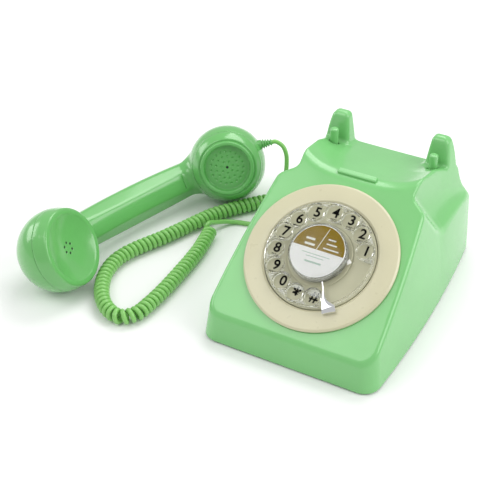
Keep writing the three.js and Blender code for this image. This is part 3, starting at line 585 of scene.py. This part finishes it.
plate_profile = rounded([
    [PLATE_BORE, 0.3, 0.2], [PLATE_RADIUS, 0.3, 0.4], [PLATE_RADIUS, 1.9, 0.8], [PLATE_RADIUS - 1.5, 2.9, 1],
    [PLATE_BORE + 5.5, PLATE_TOP + PLATE_RISE - 0.2, 1.2], [PLATE_BORE + 1.6, PLATE_TOP + PLATE_RISE, 0.8],
    [PLATE_BORE, PLATE_TOP - 0.2, 0.4],
], 0.4, 4, True)
plate = turned("cream_plate", plate_profile, 144, True)
place("cream_plate", on_dial(plate), "cream", "telephone_body", ["dial_plate"])

ring_profile = rounded([
    [3.5, 0.3], [PLATE_BORE - 0.5, 0.3], [PLATE_BORE - 0.5, RING_TOP, 0.5], [25, RING_TOP, 0.3],
    [24.6, RING_TOP - 0.35, 0.2], [24, RING_TOP - 0.35, 0.2], [23.6, RING_TOP, 0.3], [3.5, RING_TOP],
], 0.2, 3, True)
number_ring = turned("grey_ring", ring_profile, 120, True)
place("grey_ring", on_dial(number_ring), "ring_grey", "telephone_body", ["number_ring"])


def lettering(name, text, size, x, y, look_name, height, depth=0.08):
    """Flat raised characters on the dial, upright along its X axis."""
    curve = bpy.data.curves.new(name, "FONT")
    curve.body = text
    curve.size = size
    curve.align_x = "CENTER"
    curve.align_y = "CENTER"
    curve.extrude = depth / 2
    curve.offset = size * 0.022
    curve.resolution_u = 4
    holder = bpy.data.objects.new(name, curve)
    bpy.context.scene.collection.objects.link(holder)
    bpy.context.view_layer.update()
    mesh = bpy.data.meshes.new_from_object(holder.evaluated_get(bpy.context.evaluated_depsgraph_get()))
    bpy.data.objects.remove(holder)
    bpy.data.curves.remove(curve)
    mesh.transform(Matrix.Translation((x, y, height + depth / 2)))
    merged = bmesh.new()
    merged.from_mesh(mesh)
    bmesh.ops.remove_doubles(merged, verts=merged.verts, dist=1e-4)
    merged.to_mesh(mesh)
    merged.free()
    on_dial(mesh)
    return place(name, mesh, look_name, "telephone_body", slot="black_plastic", smooth=False)


for i, digit in enumerate(DIGITS):
    angle = math.radians(FIRST_HOLE + i * HOLE_PITCH)
    dx, dy = HOLE_RING * math.cos(angle), HOLE_RING * math.sin(angle)
    size = STAR_SIZE if digit == "*" else DIGIT_SIZE
    drop = 0.8 if digit == "*" else -1.2
    lettering(f"digit_{i + 1}", digit, size, dx, dy - drop, "print_black", RING_TOP)
    if LETTERS[i]:
        lettering(f"letters_{i + 1}", LETTERS[i], LETTER_SIZE, dx - 0.3, dy - 4.4, "print_black", RING_TOP)


def arc(x, y, radius, steps, start=0.0):
    """Points round a circle, anticlockwise."""
    angles = [start + 2 * math.pi * i / steps for i in range(steps)]
    return [(x + radius * math.cos(a), y + radius * math.sin(a)) for a in angles]


def plate_with_holes(name, outer, holes, z0, z1):
    """A flat plate from an outline and round holes, walls included."""
    flat = bmesh.new()
    loops = []
    for outline in [outer, *holes]:
        verts = [flat.verts.new((x, y, z1)) for x, y in outline]
        loops.append([flat.edges.new((a, b)) for a, b in zip(verts, verts[1:] + verts[:1])])
    edges = [edge for loop in loops for edge in loop]
    bmesh.ops.triangle_fill(flat, use_beauty=True, use_dissolve=False, edges=edges)
    for face in flat.faces:
        if face.normal.z < 0:
            face.normal_flip()
    top = list(flat.faces)
    copy = bmesh.ops.duplicate(flat, geom=list(flat.verts) + list(flat.edges) + top)
    low = copy["vert_map"]
    for face in [g for g in copy["geom"] if isinstance(g, bmesh.types.BMFace)]:
        face.normal_flip()
    for loop in loops:
        for edge in loop:
            a, b = edge.verts
            flat.faces.new((a, b, low[b], low[a]))
    for vert in flat.verts:
        if vert in low and not isinstance(low[vert], bool):
            low[vert].co.z = z0
    bmesh.ops.recalc_face_normals(flat, faces=list(flat.faces))
    mesh = bpy.data.meshes.new(name)
    flat.to_mesh(mesh)
    flat.free()
    return mesh


def joined(name, meshes):
    """One mesh from several."""
    whole = bmesh.new()
    for mesh in meshes:
        whole.from_mesh(mesh)
        bpy.data.meshes.remove(mesh)
    result = bpy.data.meshes.new(name)
    whole.to_mesh(result)
    whole.free()
    return result


def finger_wheel():
    """Clear wheel: flat web with holes, a raised collar round each, a thick rim and a hub."""
    sides = 64
    middles = [math.radians(FIRST_HOLE + i * HOLE_PITCH) for i in range(len(DIGITS))]
    places = [(HOLE_RING * math.cos(a), HOLE_RING * math.sin(a)) for a in middles]
    collar = HOLE_RADIUS + COLLAR_WIDTH
    rim = WHEEL_RADIUS - RIM_WIDTH
    web = plate_with_holes("web", arc(0, 0, rim, 180), [
        *(arc(x, y, collar, sides) for x, y in places), arc(0, 0, HUB_RADIUS, 120),
    ], WHEEL_BOTTOM, WHEEL_TOP - WEB_DROP)
    pieces = [web]
    collar_profile = rounded([
        [HOLE_RADIUS, WHEEL_BOTTOM, 0.3], [collar, WHEEL_BOTTOM, 0.05], [collar, WHEEL_TOP, 0.35],
        [HOLE_RADIUS, WHEEL_TOP, 0.5],
    ], 0.3, 4, True)
    for x, y in places:
        piece = turned("collar", collar_profile, sides, True)
        piece.transform(Matrix.Translation((x, y, 0)))
        pieces.append(piece)
    rim_profile = rounded([
        [rim, WHEEL_BOTTOM, 0.05], [WHEEL_RADIUS, WHEEL_BOTTOM, 0.5], [WHEEL_RADIUS, WHEEL_TOP, 0.7],
        [rim, WHEEL_TOP - 0.2, 0.3],
    ], 0.3, 4, True)
    pieces.append(turned("rim", rim_profile, 180, True))
    inner = HUB_RADIUS - HUB_WALL
    ceiling = HUB_TOP - HUB_WALL
    hub_profile = rounded([
        [0, ceiling], [inner, ceiling, 0.5], [inner, WHEEL_BOTTOM, 0.2], [HUB_RADIUS, WHEEL_BOTTOM, 0.05],
        [HUB_RADIUS, WHEEL_TOP - WEB_DROP, 0.05], [HUB_RADIUS, HUB_TOP, 0.3], [0, HUB_TOP],
    ], 0.3, 4)
    pieces.append(turned("hub", hub_profile, 120))
    foot = RING_TOP + 0.6
    boss = rounded([[3.3, foot], [7, foot], [7, ceiling], [3.3, ceiling]], 0.2, 2, True)
    pieces.append(turned("boss", boss, 48, True))
    return joined("wheel", pieces)


place("clear_wheel", on_dial(finger_wheel()), "clear_plastic", "dial_rotor", ["finger_wheel"])

card_z = HUB_TOP + 0.3
print_z = card_z + CARD_THICKNESS
card_profile = rounded([[0, card_z], [LABEL_RADIUS, card_z], [LABEL_RADIUS, print_z], [0, print_z]], 0.1, 2)
place("card", on_dial(turned("card", card_profile, 96)), "label", "dial_rotor", ["label_card"])


def inlay(name, outline, look_name, z, thick=0.06):
    """A thin printed area on the label, from an outline in the dial's plane."""
    points = [(x, y, z) for x, y in outline] + [(x, y, z + thick) for x, y in outline]
    n = len(outline)
    faces = [tuple(range(n, 2 * n)), tuple(range(n - 1, -1, -1))]
    faces += [(i, (i + 1) % n, n + (i + 1) % n, n + i) for i in range(n)]
    mesh = on_dial(new_mesh(name, points, faces))
    return place(name, mesh, look_name, "dial_rotor", slot="label", smooth=False)


gold_radius = LABEL_RADIUS - 0.5
gold_angles = np.linspace(0.035, math.pi - 0.035, 60)
gold_half = [(gold_radius * math.cos(a), gold_radius * math.sin(a)) for a in gold_angles]
inlay("label_gold", gold_half, "gold", print_z)


def bar(name, x, y, length, thick, look_name, tilt=0.0):
    """A plain printed bar, which stands for a line of words."""
    c, s = math.cos(tilt), math.sin(tilt)
    across, up = length / 2, thick / 2
    corners = [(-across, -up), (across, -up), (across, up), (-across, up)]
    inlay(name, [(x + c * u - s * v, y + s * u + c * v) for u, v in corners], look_name, print_z + 0.07)


bar("label_rule", 0.5, 9, 19, 0.5, "print_white", math.radians(78))
for row, (x, y, length) in enumerate(((-8.5, 7.6, 7), (-7.6, 3.4, 8))):
    bar(f"label_left_{row + 1}", x, y, length, 1.7, "print_white")
for row, (x, y, length) in enumerate(((7.4, 10.6, 6), (8.4, 7.0, 8), (9.2, 3.2, 12))):
    bar(f"label_right_{row + 1}", x, y, length, 1.1, "print_white")
for row, (x, y, length) in enumerate(((0, -3.2, 22), (0, -5.4, 14), (0, -9.4, 13))):
    bar(f"label_low_{row + 1}", x, y, length, 0.5 if row < 2 else 1.3, "print_grey")
arrow = [(22.2, 1.8), (22.9, 1.8), (22.9, 3.2), (25.6, 0.6), (22.9, -2.0), (22.9, -0.6), (22.2, -0.6)]
inlay("label_arrow", arrow[::-1], "print_white", WHEEL_TOP - WEB_DROP + 0.05)

cover_profile = rounded([
    [0, card_z + 0.75], [LABEL_RADIUS + 0.3, card_z + 0.75, 0.1], [LABEL_RADIUS + 0.3, card_z, 0.1],
    [HUB_RADIUS, card_z, 0.1], [HUB_RADIUS, card_z + 1.1, 0.4], [LABEL_RADIUS - 2, card_z + 1.8, 0.8],
    [0, card_z + 2],
], 0.2, 3)
window = turned("label_window", cover_profile, 96)
place("label_window", on_dial(window), "clear_plastic", "dial_rotor", ["label_cover"])


def finger_stop():
    """A curved chrome blade: foot on the cover plate, arm tapering over the wheel."""
    foot_out = PLATE_BORE + 4.4
    foot_in = WHEEL_RADIUS + 1.6
    stations, across = 34, 9
    blade_top = WHEEL_TOP + 2.1
    foot_low = PLATE_TOP + PLATE_RISE + 0.3
    points = []
    for i in range(stations):
        t = i / (stations - 1)
        r = foot_out - (foot_out - STOP_TIP) * t
        near_foot = np.clip((r - 30) / (foot_out - 30), 0, 1)
        low = -0.3 - 3.2 * near_foot ** 0.7
        high = 0.5 + 6.0 * np.clip((r - 33) / (foot_in - 33), 0, 1) ** 2.2
        droop = 1.6 * np.clip((r - foot_in) / (foot_out - foot_in), 0, 1) ** 2
        top = blade_top - droop
        under = foot_low if r > foot_in + 1 else top - 1.2
        for k in range(across):
            u = k / (across - 1)
            crown = 0.5 * math.sin(math.pi * u) * near_foot
            points.append((r, low + (high - low) * u, top - 0.5 + crown))
        for k in range(across):
            u = 1 - k / (across - 1)
            points.append((r, low + (high - low) * u, under))
    ring = 2 * across
    faces = []
    for i in range(stations - 1):
        for k in range(ring):
            a, b = i * ring + k, i * ring + (k + 1) % ring
            faces.append((a, b, b + ring, a + ring))
    faces.append(tuple(range(ring))[::-1])
    last = (stations - 1) * ring
    faces.append(tuple(range(last, last + ring)))
    mesh = new_mesh("stop_blade", points, faces)
    mesh.transform(Matrix.Rotation(math.radians(STOP_ANGLE), 4, "Z"))
    return mesh


stop = place("stop_blade", on_dial(finger_stop()), "chrome", "telephone_body", ["finger_stop"])
bevel(stop, 0.35, 2, 40)


# ---------------------------------------------------------------- handset
# Its own frame: x runs from the earpiece to the mouthpiece, z is the way the caps face before tilt.
along_x = Vector(HANDSET_WAY).normalized()
along_z = Vector((
    along_x.y * math.cos(HANDSET_LIE), -along_x.x * math.cos(HANDSET_LIE), math.sin(HANDSET_LIE),
))
handset_matrix = Matrix((along_x, along_z.cross(along_x), along_z)).transposed().to_4x4()
handset_matrix.translation = (HANDSET_X, HANDSET_Y, BULB_RADIUS)
mouth_middle = Vector((HANDSET_SPAN, 0, 0))
ear_matrix = handset_matrix @ Matrix.Rotation(EAR_TILT, 4, "Y")
mouth_matrix = handset_matrix @ Matrix.Translation(mouth_middle) @ Matrix.Rotation(MOUTH_TILT, 4, "Y")


def end_height(x, z, angle, centre):
    """Height over an end's centre along the way its cap faces."""
    return math.sin(angle) * (x - centre) + math.cos(angle) * z


def handle_field(x, y, z):
    """Two round ends and an arched grip with a flattened ridge, hollow and open under both caps."""
    ear = np.sqrt(x * x + y * y + z * z) - BULB_RADIUS
    mouth = np.sqrt((x - HANDSET_SPAN) ** 2 + y * y + z * z) - BULB_RADIUS
    t = np.clip((2 * x - HANDSET_SPAN) / HANDSET_SPAN, -1.1, 1.1)
    bow = np.maximum(1 - t * t, -0.2)
    middle = -GRIP_DROP - GRIP_ARCH * bow
    half_y = GRIP_HALF_WIDTH + GRIP_SWELL * bow
    half_z = GRIP_HALF_DEPTH + GRIP_DEPTH_SWELL * bow
    u, v = np.abs(y) / half_y, np.abs(z - middle) / half_z
    grip = (((u ** 2.6 + v ** 2.6) ** (1 / 2.6)) - 1) * 12
    facet = 0.75 * np.abs(y) + 0.66 * (z - middle) - GRIP_FACET - GRIP_FACET_FADE * t ** 4
    grip = both(grip, facet, 0.8)
    grip = np.maximum(grip, np.maximum(-x, x - HANDSET_SPAN))
    body = either(either(ear, mouth, 1), grip, 9)
    ear_z = end_height(x, z, EAR_TILT, 0)
    mouth_z = end_height(x, z, MOUTH_TILT, HANDSET_SPAN)
    near_ear = np.sqrt(x * x + y * y + z * z) - BULB_RADIUS - 1.2
    near_mouth = np.sqrt((x - HANDSET_SPAN) ** 2 + y * y + z * z) - BULB_RADIUS - 9
    body = less(body, both(near_ear, EAR_SEAM - ear_z, 0.3), 0.15)
    body = less(body, both(near_mouth, MOUTH_SEAM - mouth_z, 0.3), 0.15)
    hollow_ear = both(near_ear + 4.2, ear_z - EAR_SEAM - 3, 1)
    hollow_mouth = both(near_mouth + 12, mouth_z - MOUTH_SEAM - 3, 1)
    return less(less(body, hollow_ear, 0.5), hollow_mouth, 0.5)


handle_step = 1.0
handle = skin("handle", handle_field, (-35, -35, -35), (214, 35, 35), handle_step)
handle.transform(handset_matrix)
place("handle", handle, "handset_green", "handset", ["handset_handle"])


def bulb_arc(radius, z0, z1, steps):
    """Profile points on a ball between two heights."""
    a0, a1 = math.asin(z0 / radius), math.asin(z1 / radius)
    return [[radius * math.cos(a), radius * math.sin(a), 0] for a in np.linspace(a0, a1, steps)]


def dished(name, profile, dents, matrix, segments=144):
    """A turned cap whose top points are lowered by small dents; a dent is (x, y, radius, depth)."""
    mesh = turned(name, profile, segments)
    for vertex in mesh.vertices:
        x, y, z = vertex.co
        if z < profile[-1][1] - 0.8:
            continue
        for dx, dy, r, depth in dents:
            d = math.hypot(x - dx, y - dy) / r
            if d < 1:
                vertex.co.z -= depth * (1 - d * d) ** 1.5
    mesh.transform(matrix)
    return mesh


def cap_points(profile_top, outer, step):
    """Radii from an outer radius to the axis at a height given by a function."""
    count = max(2, round(outer / step))
    return [[outer * (1 - i / count), profile_top(outer * (1 - i / count))] for i in range(count + 1)]


def ring_dents(rings):
    """Dents in rings, each given by its radius, count, dent radius, dent depth and share of a step turned."""
    dents = []
    for radius, count, size, depth, turned_by in rings:
        for i in range(count):
            a = 2 * math.pi * (i + turned_by) / count
            dents.append((radius * math.cos(a), radius * math.sin(a), size, depth))
    return dents


ear_inner = BULB_RADIUS - 3


def ear_top(r):
    """Height of the hollow face of the earpiece at a radius."""
    return EAR_FACE - EAR_HOLLOW + (EAR_HOLLOW - 0.2) * (r / 26) ** 2


ear_profile = [
    [0, EAR_FACE - EAR_HOLLOW - 2.5], [ear_inner - 4, EAR_FACE - 5.5], [ear_inner - 1.2, EAR_SEAM + 3],
    [ear_inner, EAR_SEAM + 0.1],
]
ear_profile += rounded([
    [ear_inner, EAR_SEAM + 0.1, 0], [BULB_RADIUS - 0.25, EAR_SEAM + 0.1, 0.05],
    *bulb_arc(BULB_RADIUS, EAR_SEAM + 0.3, EAR_FACE - 4, 8), [BULB_RADIUS - 2.5, EAR_FACE + 0.5, 4],
    [26.5, EAR_FACE + 0.2, 2], [25.5, ear_top(25.5), 0.5],
], 0.2, 5)[1:]
ear_profile += [[r, ear_top(r)] for r in np.linspace(25, 6.2, 14)]
ear_profile += cap_points(ear_top, 6.0, 0.25)
ear_dents = ring_dents([(4.3, 6, 1.2, 2.2, 0.5)])
ear_cap = dished("ear_cap", [p[:2] for p in ear_profile], ear_dents, ear_matrix)
place("ear_cap", ear_cap, "handset_green", "handset", ["earpiece_cap"])

mouth_inner = math.sqrt((BULB_RADIUS - 3) ** 2 - MOUTH_SEAM ** 2)
ring_z = math.sqrt(BULB_RADIUS ** 2 - MOUTH_RING ** 2) - 1
floor_z = ring_z - MOUTH_RECESS
mouth_profile = [[0, floor_z - 2.5], [MOUTH_RING - 3, floor_z - 2.5], [mouth_inner - 3, MOUTH_SEAM + 2]]
seam_r = math.sqrt(BULB_RADIUS ** 2 - MOUTH_SEAM ** 2)
mouth_profile += rounded([
    [mouth_inner, MOUTH_SEAM + 0.1], [seam_r - 0.3, MOUTH_SEAM + 0.1, 0.05],
    *bulb_arc(BULB_RADIUS, MOUTH_SEAM + 0.3, ring_z - 2.0, 8), [MOUTH_RING + 2.2, ring_z - 2.5, 0.4],
    [MOUTH_RING + 1.5, ring_z + 1.2, 1.3], [MOUTH_RING - 1.3, ring_z + 1.2, 1.3],
    [MOUTH_RING - 2, floor_z + 0.2, 0.5], [MOUTH_RING - 3, floor_z, 0.3],
], 0.2, 5)
mouth_profile += cap_points(lambda r: floor_z, MOUTH_RING - 3.2, 0.32)
mouth_dents = ring_dents([
    (0.01, 1, 1.4, 2.4, 0), (5, 7, 1.15, 1.0, 0), (9.5, 13, 1.15, 1.0, 0.5), (14, 19, 1.15, 1.0, 0),
])
mouth_cap = dished("mouth_cap", [p[:2] for p in mouth_profile], mouth_dents, mouth_matrix, 180)
place("mouth_cap", mouth_cap, "handset_green", "handset", ["mouthpiece_cap"])


def hole_shade_spots(name, spots, z_of, matrix):
    """Small dark discs at the bottom of the deepest dents: painted shade that stands for the shadowed inside of
    the holes.
    """
    points, faces = [], []
    for x, y, r in spots:
        start = len(points)
        z = z_of(math.hypot(x, y))
        points += [(px, py, z) for px, py in arc(x, y, r, 12)]
        faces.append(tuple(range(start, start + 12)))
    mesh = new_mesh(name, points, faces)
    mesh.transform(matrix)
    place(name, mesh, "hole_dark", "handset", slot="black_plastic")


# Painted shade: dark discs for the shadowed insides of the earpiece and mouthpiece holes.
hole_shade_spots("ear_holes", [(x, y, 0.9) for x, y, _, _ in ear_dents], lambda r: ear_top(r) - 0.45, ear_matrix)
hole_shade_spots("mouth_hole", [(0, 0, 1.15)], lambda r: floor_z - 0.5, mouth_matrix)

gland_seat = Vector((0.66, 0.185, 0.728)).normalized()
gland_way = Vector((0.66, -0.12, 0.66)).normalized()
gland_out = GLAND_RADIUS * math.sin(gland_seat.angle(gland_way))
gland_start = mouth_middle + gland_seat * (BULB_RADIUS + 0.3) + gland_way * gland_out
gland_profile = [[0, -3.5], [GLAND_RADIUS, -3.5], [GLAND_RADIUS, 0.2]]
for i in range(GLAND_RIBS):
    r, z = 4.0 - 0.42 * i, 0.3 + 2.15 * i
    gland_profile += [[r - 1.0, z, 0.2], [r - 1.0, z + 0.6, 0.2], [r, z + 0.8, 0.4], [r, z + 1.9, 0.4]]
gland_profile += [[2.2, GLAND_LENGTH, 0.3], [0, GLAND_LENGTH]]
gland = turned("gland", rounded(gland_profile, 0.3, 3), 48)
gland_turn = gland_way.to_track_quat("Z", "Y").to_matrix().to_4x4()
gland.transform(handset_matrix @ Matrix.Translation(gland_start) @ gland_turn)
place("gland", gland, "handset_green", "handset", ["handset_gland"])


# ---------------------------------------------------------------- cord
def smooth_path(points, step):
    """Points about a step apart on a centripetal Catmull-Rom curve."""
    p = [np.array(q, float) for q in points]
    p = [2 * p[0] - p[1], *p, 2 * p[-1] - p[-2]]
    out = []
    for i in range(1, len(p) - 2):
        a, b, c, d = p[i - 1:i + 3]
        ta, tb, tc = [max(np.linalg.norm(v - u) ** 0.5, 1e-4) for u, v in ((a, b), (b, c), (c, d))]
        m1 = (b - a) / ta - (c - a) / (ta + tb) + (c - b) / tb
        m2 = (c - b) / tb - (d - b) / (tb + tc) + (d - c) / tc
        m1, m2 = m1 * tb, m2 * tb
        n = max(2, round(np.linalg.norm(c - b) / step))
        for k in range(n):
            t = k / n
            out.append((2 * t ** 3 - 3 * t ** 2 + 1) * b + (t ** 3 - 2 * t ** 2 + t) * m1
                       + (3 * t ** 2 - 2 * t ** 3) * c + (t ** 3 - t ** 2) * m2)
    out.append(p[-2])
    return np.array(out)


def carried_frames(line):
    """Directions along a line, with a sideways direction carried along without twist."""
    ahead = np.gradient(line, axis=0)
    ahead /= np.linalg.norm(ahead, axis=1)[:, None]
    side = np.cross(ahead[0], (0.1, 0.2, 1))
    side /= np.linalg.norm(side)
    sides = [side]
    for i in range(1, len(line)):
        side = side - ahead[i] * (side @ ahead[i])
        side /= np.linalg.norm(side)
        sides.append(side)
    sides = np.array(sides)
    return ahead, sides, np.cross(ahead, sides)


def tube_mesh(name, line, radius, sides=8):
    ahead, a, b = carried_frames(line)
    turn = np.linspace(0, 2 * math.pi, sides, endpoint=False)
    around = np.cos(turn)[None, :, None] * a[:, None] + np.sin(turn)[None, :, None] * b[:, None]
    points = (line[:, None] + radius * around).reshape(-1, 3)
    faces = []
    for i in range(len(line) - 1):
        for k in range(sides):
            p, q = i * sides + k, i * sides + (k + 1) % sides
            faces.append((p, q, q + sides, p + sides))
    faces.append(tuple(range(sides))[::-1])
    last = (len(line) - 1) * sides
    faces.append(tuple(range(last, last + sides)))
    return new_mesh(name, points, faces)


gland_end = handset_matrix @ (gland_start + gland_way * (GLAND_LENGTH + 0.3))
gland_heading = (handset_matrix.to_3x3() @ gland_way).normalized()
coil_points = [(x, y, COIL_Z) for x, y in (
    (-103, 181), (-111, 172.5), (-119.3, 162.5), (-128.4, 150), (-138, 136), (-145, 119), (-151.5, 102),
    (-158, 86), (-165, 71.5), (-171, 57), (-173.8, 41), (-171, 24), (-164, 9), (-154.5, -3.5), (-143, -12),
    (-131, -14.5), (-122.5, -6.5), (-120, 9), (-119.3, 29), (-120, 50), (-121, 70), (-123, 90), (-128, 115),
)]
handset_tail = [
    gland_end - gland_heading * 2, gland_end, gland_end + gland_heading * 2.5, (-105.5, 200, 50),
    (-101.5, 199.5, 43.5), (-100, 198, 34), (-99, 193.5, 22), (-98.4, 188.5, 12.5), (-99.8, 184.8, 7.8),
    (-102.1, 182.1, COIL_Z),
]
grommet_x = -float(half_width(GROMMET_Y, GROMMET_Z)) - 2.8
base_tail = [
    (-131, 119.5, 10.5), (-128.8, 126.5, 7.4), (-124.6, 134.8, 4.4), (-118.5, 140.6, 2.3), (-110, 143.5, 1.9),
    (-100, 146.2, 2), (-88, 152, 4.2), (-79.5, 158.5, 8.6),
    (grommet_x - 2.5, GROMMET_Y, GROMMET_Z), (grommet_x + 1, GROMMET_Y, GROMMET_Z),
]
spine = smooth_path(coil_points, 0.5)
ahead, side_a, side_b = carried_frames(spine)
length_along = np.concatenate([[0], np.cumsum(np.linalg.norm(np.diff(spine, axis=0), axis=1))])
bend = np.linalg.norm(np.gradient(ahead, axis=0), axis=1) / np.gradient(length_along)
bend = np.convolve(np.pad(bend, 10, "edge"), np.ones(21) / 21, "valid")
helix_radius = COIL_RADIUS - WIRE_RADIUS
rate = 2 * math.pi / COIL_TURN_PITCH * (1 - 0.45 * helix_radius * np.clip(bend, 0, 0.12))
phase = np.concatenate([[0], np.cumsum((rate[1:] + rate[:-1]) / 2 * np.diff(length_along))])
last_turn = 0.6 * 2 * math.pi
phase *= (2 * math.pi * round(phase[-1] / (2 * math.pi)) + last_turn) / phase[-1]
steps_per_turn = 14
samples = np.linspace(0, phase[-1], int(phase[-1] / (2 * math.pi) * steps_per_turn))
where = np.interp(samples, phase, length_along)


def along(values):
    return np.stack([np.interp(where, length_along, values[:, k]) for k in range(3)], axis=1)


ends_in = np.clip(where / 3.5, 0, 1)
swell = helix_radius * ends_in * ends_in * (3 - 2 * ends_in)
helix = along(spine) + swell[:, None] * (
    np.cos(samples)[:, None] * along(side_a) + np.sin(samples)[:, None] * along(side_b))
leaving = helix[-1] + (helix[-1] - helix[-3]) * 0.6 + np.array((0, 1.2, 0))
cord_line = np.concatenate([
    smooth_path(handset_tail, 1.2)[:-1], helix, smooth_path([helix[-1], leaving, *base_tail], 1.2)[1:],
])
cord_mesh = tube_mesh("curly_cord", cord_line, WIRE_RADIUS)
cord = place("curly_cord", cord_mesh, "cord_green", "telephone_body",
             ["handset_cord_tail", "handset_cord_coil", "base_cord_tail"], slot="handset_green")
cord.parent = None  # blend takes the place of riding on one body
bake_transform(cord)


# ---------------------------------------------------------------- floor, light
floor_mesh = new_mesh("floor", [(-4, -4, 0), (4, -4, 0), (4, 4, 0), (-4, 4, 0)], [(0, 1, 2, 3)])
floor_look = shader("floor", (0.9, 0.9, 0.9), 0.6, vary=0.005, patch=2, bump=0.02)
floor_mesh.materials.append(floor_look)
floor = bpy.data.objects.new("floor", floor_mesh)
bpy.context.scene.collection.objects.link(floor)

world = bpy.data.worlds.new("studio")
world.use_nodes = True
background = world.node_tree.nodes["Background"]
background.inputs["Color"].default_value = (1, 1, 1, 1)
background.inputs["Strength"].default_value = 0.58
bpy.context.scene.world = world
bpy.context.scene.view_settings.view_transform = "Standard"


def lamp(name, location, target, size, power):
    """A rectangular soft light that faces a target."""
    data = bpy.data.lights.new(name, "AREA")
    data.shape = "RECTANGLE"
    data.size, data.size_y = size
    data.energy = power
    obj = bpy.data.objects.new(name, data)
    obj.location = location
    obj.rotation_mode = "QUATERNION"
    obj.rotation_quaternion = (Vector(target) - Vector(location)).to_track_quat("-Z", "Y")
    bpy.context.scene.collection.objects.link(obj)


lamp("key", (1.15, 0.1, 0.9), (0, 0, 0.05), (0.9, 0.9), 9)
lamp("top", (0.0, 0.75, 1.15), (-0.1, 0, 0.05), (0.9, 0.7), 7.5)
lamp("left", (-1.3, -0.2, 0.6), (-0.1, 0, 0.05), (0.8, 0.6), 5)
lamp("front", (-0.5, -0.7, 1.3), (0, 0, 0.05), (0.8, 0.8), 4.5)
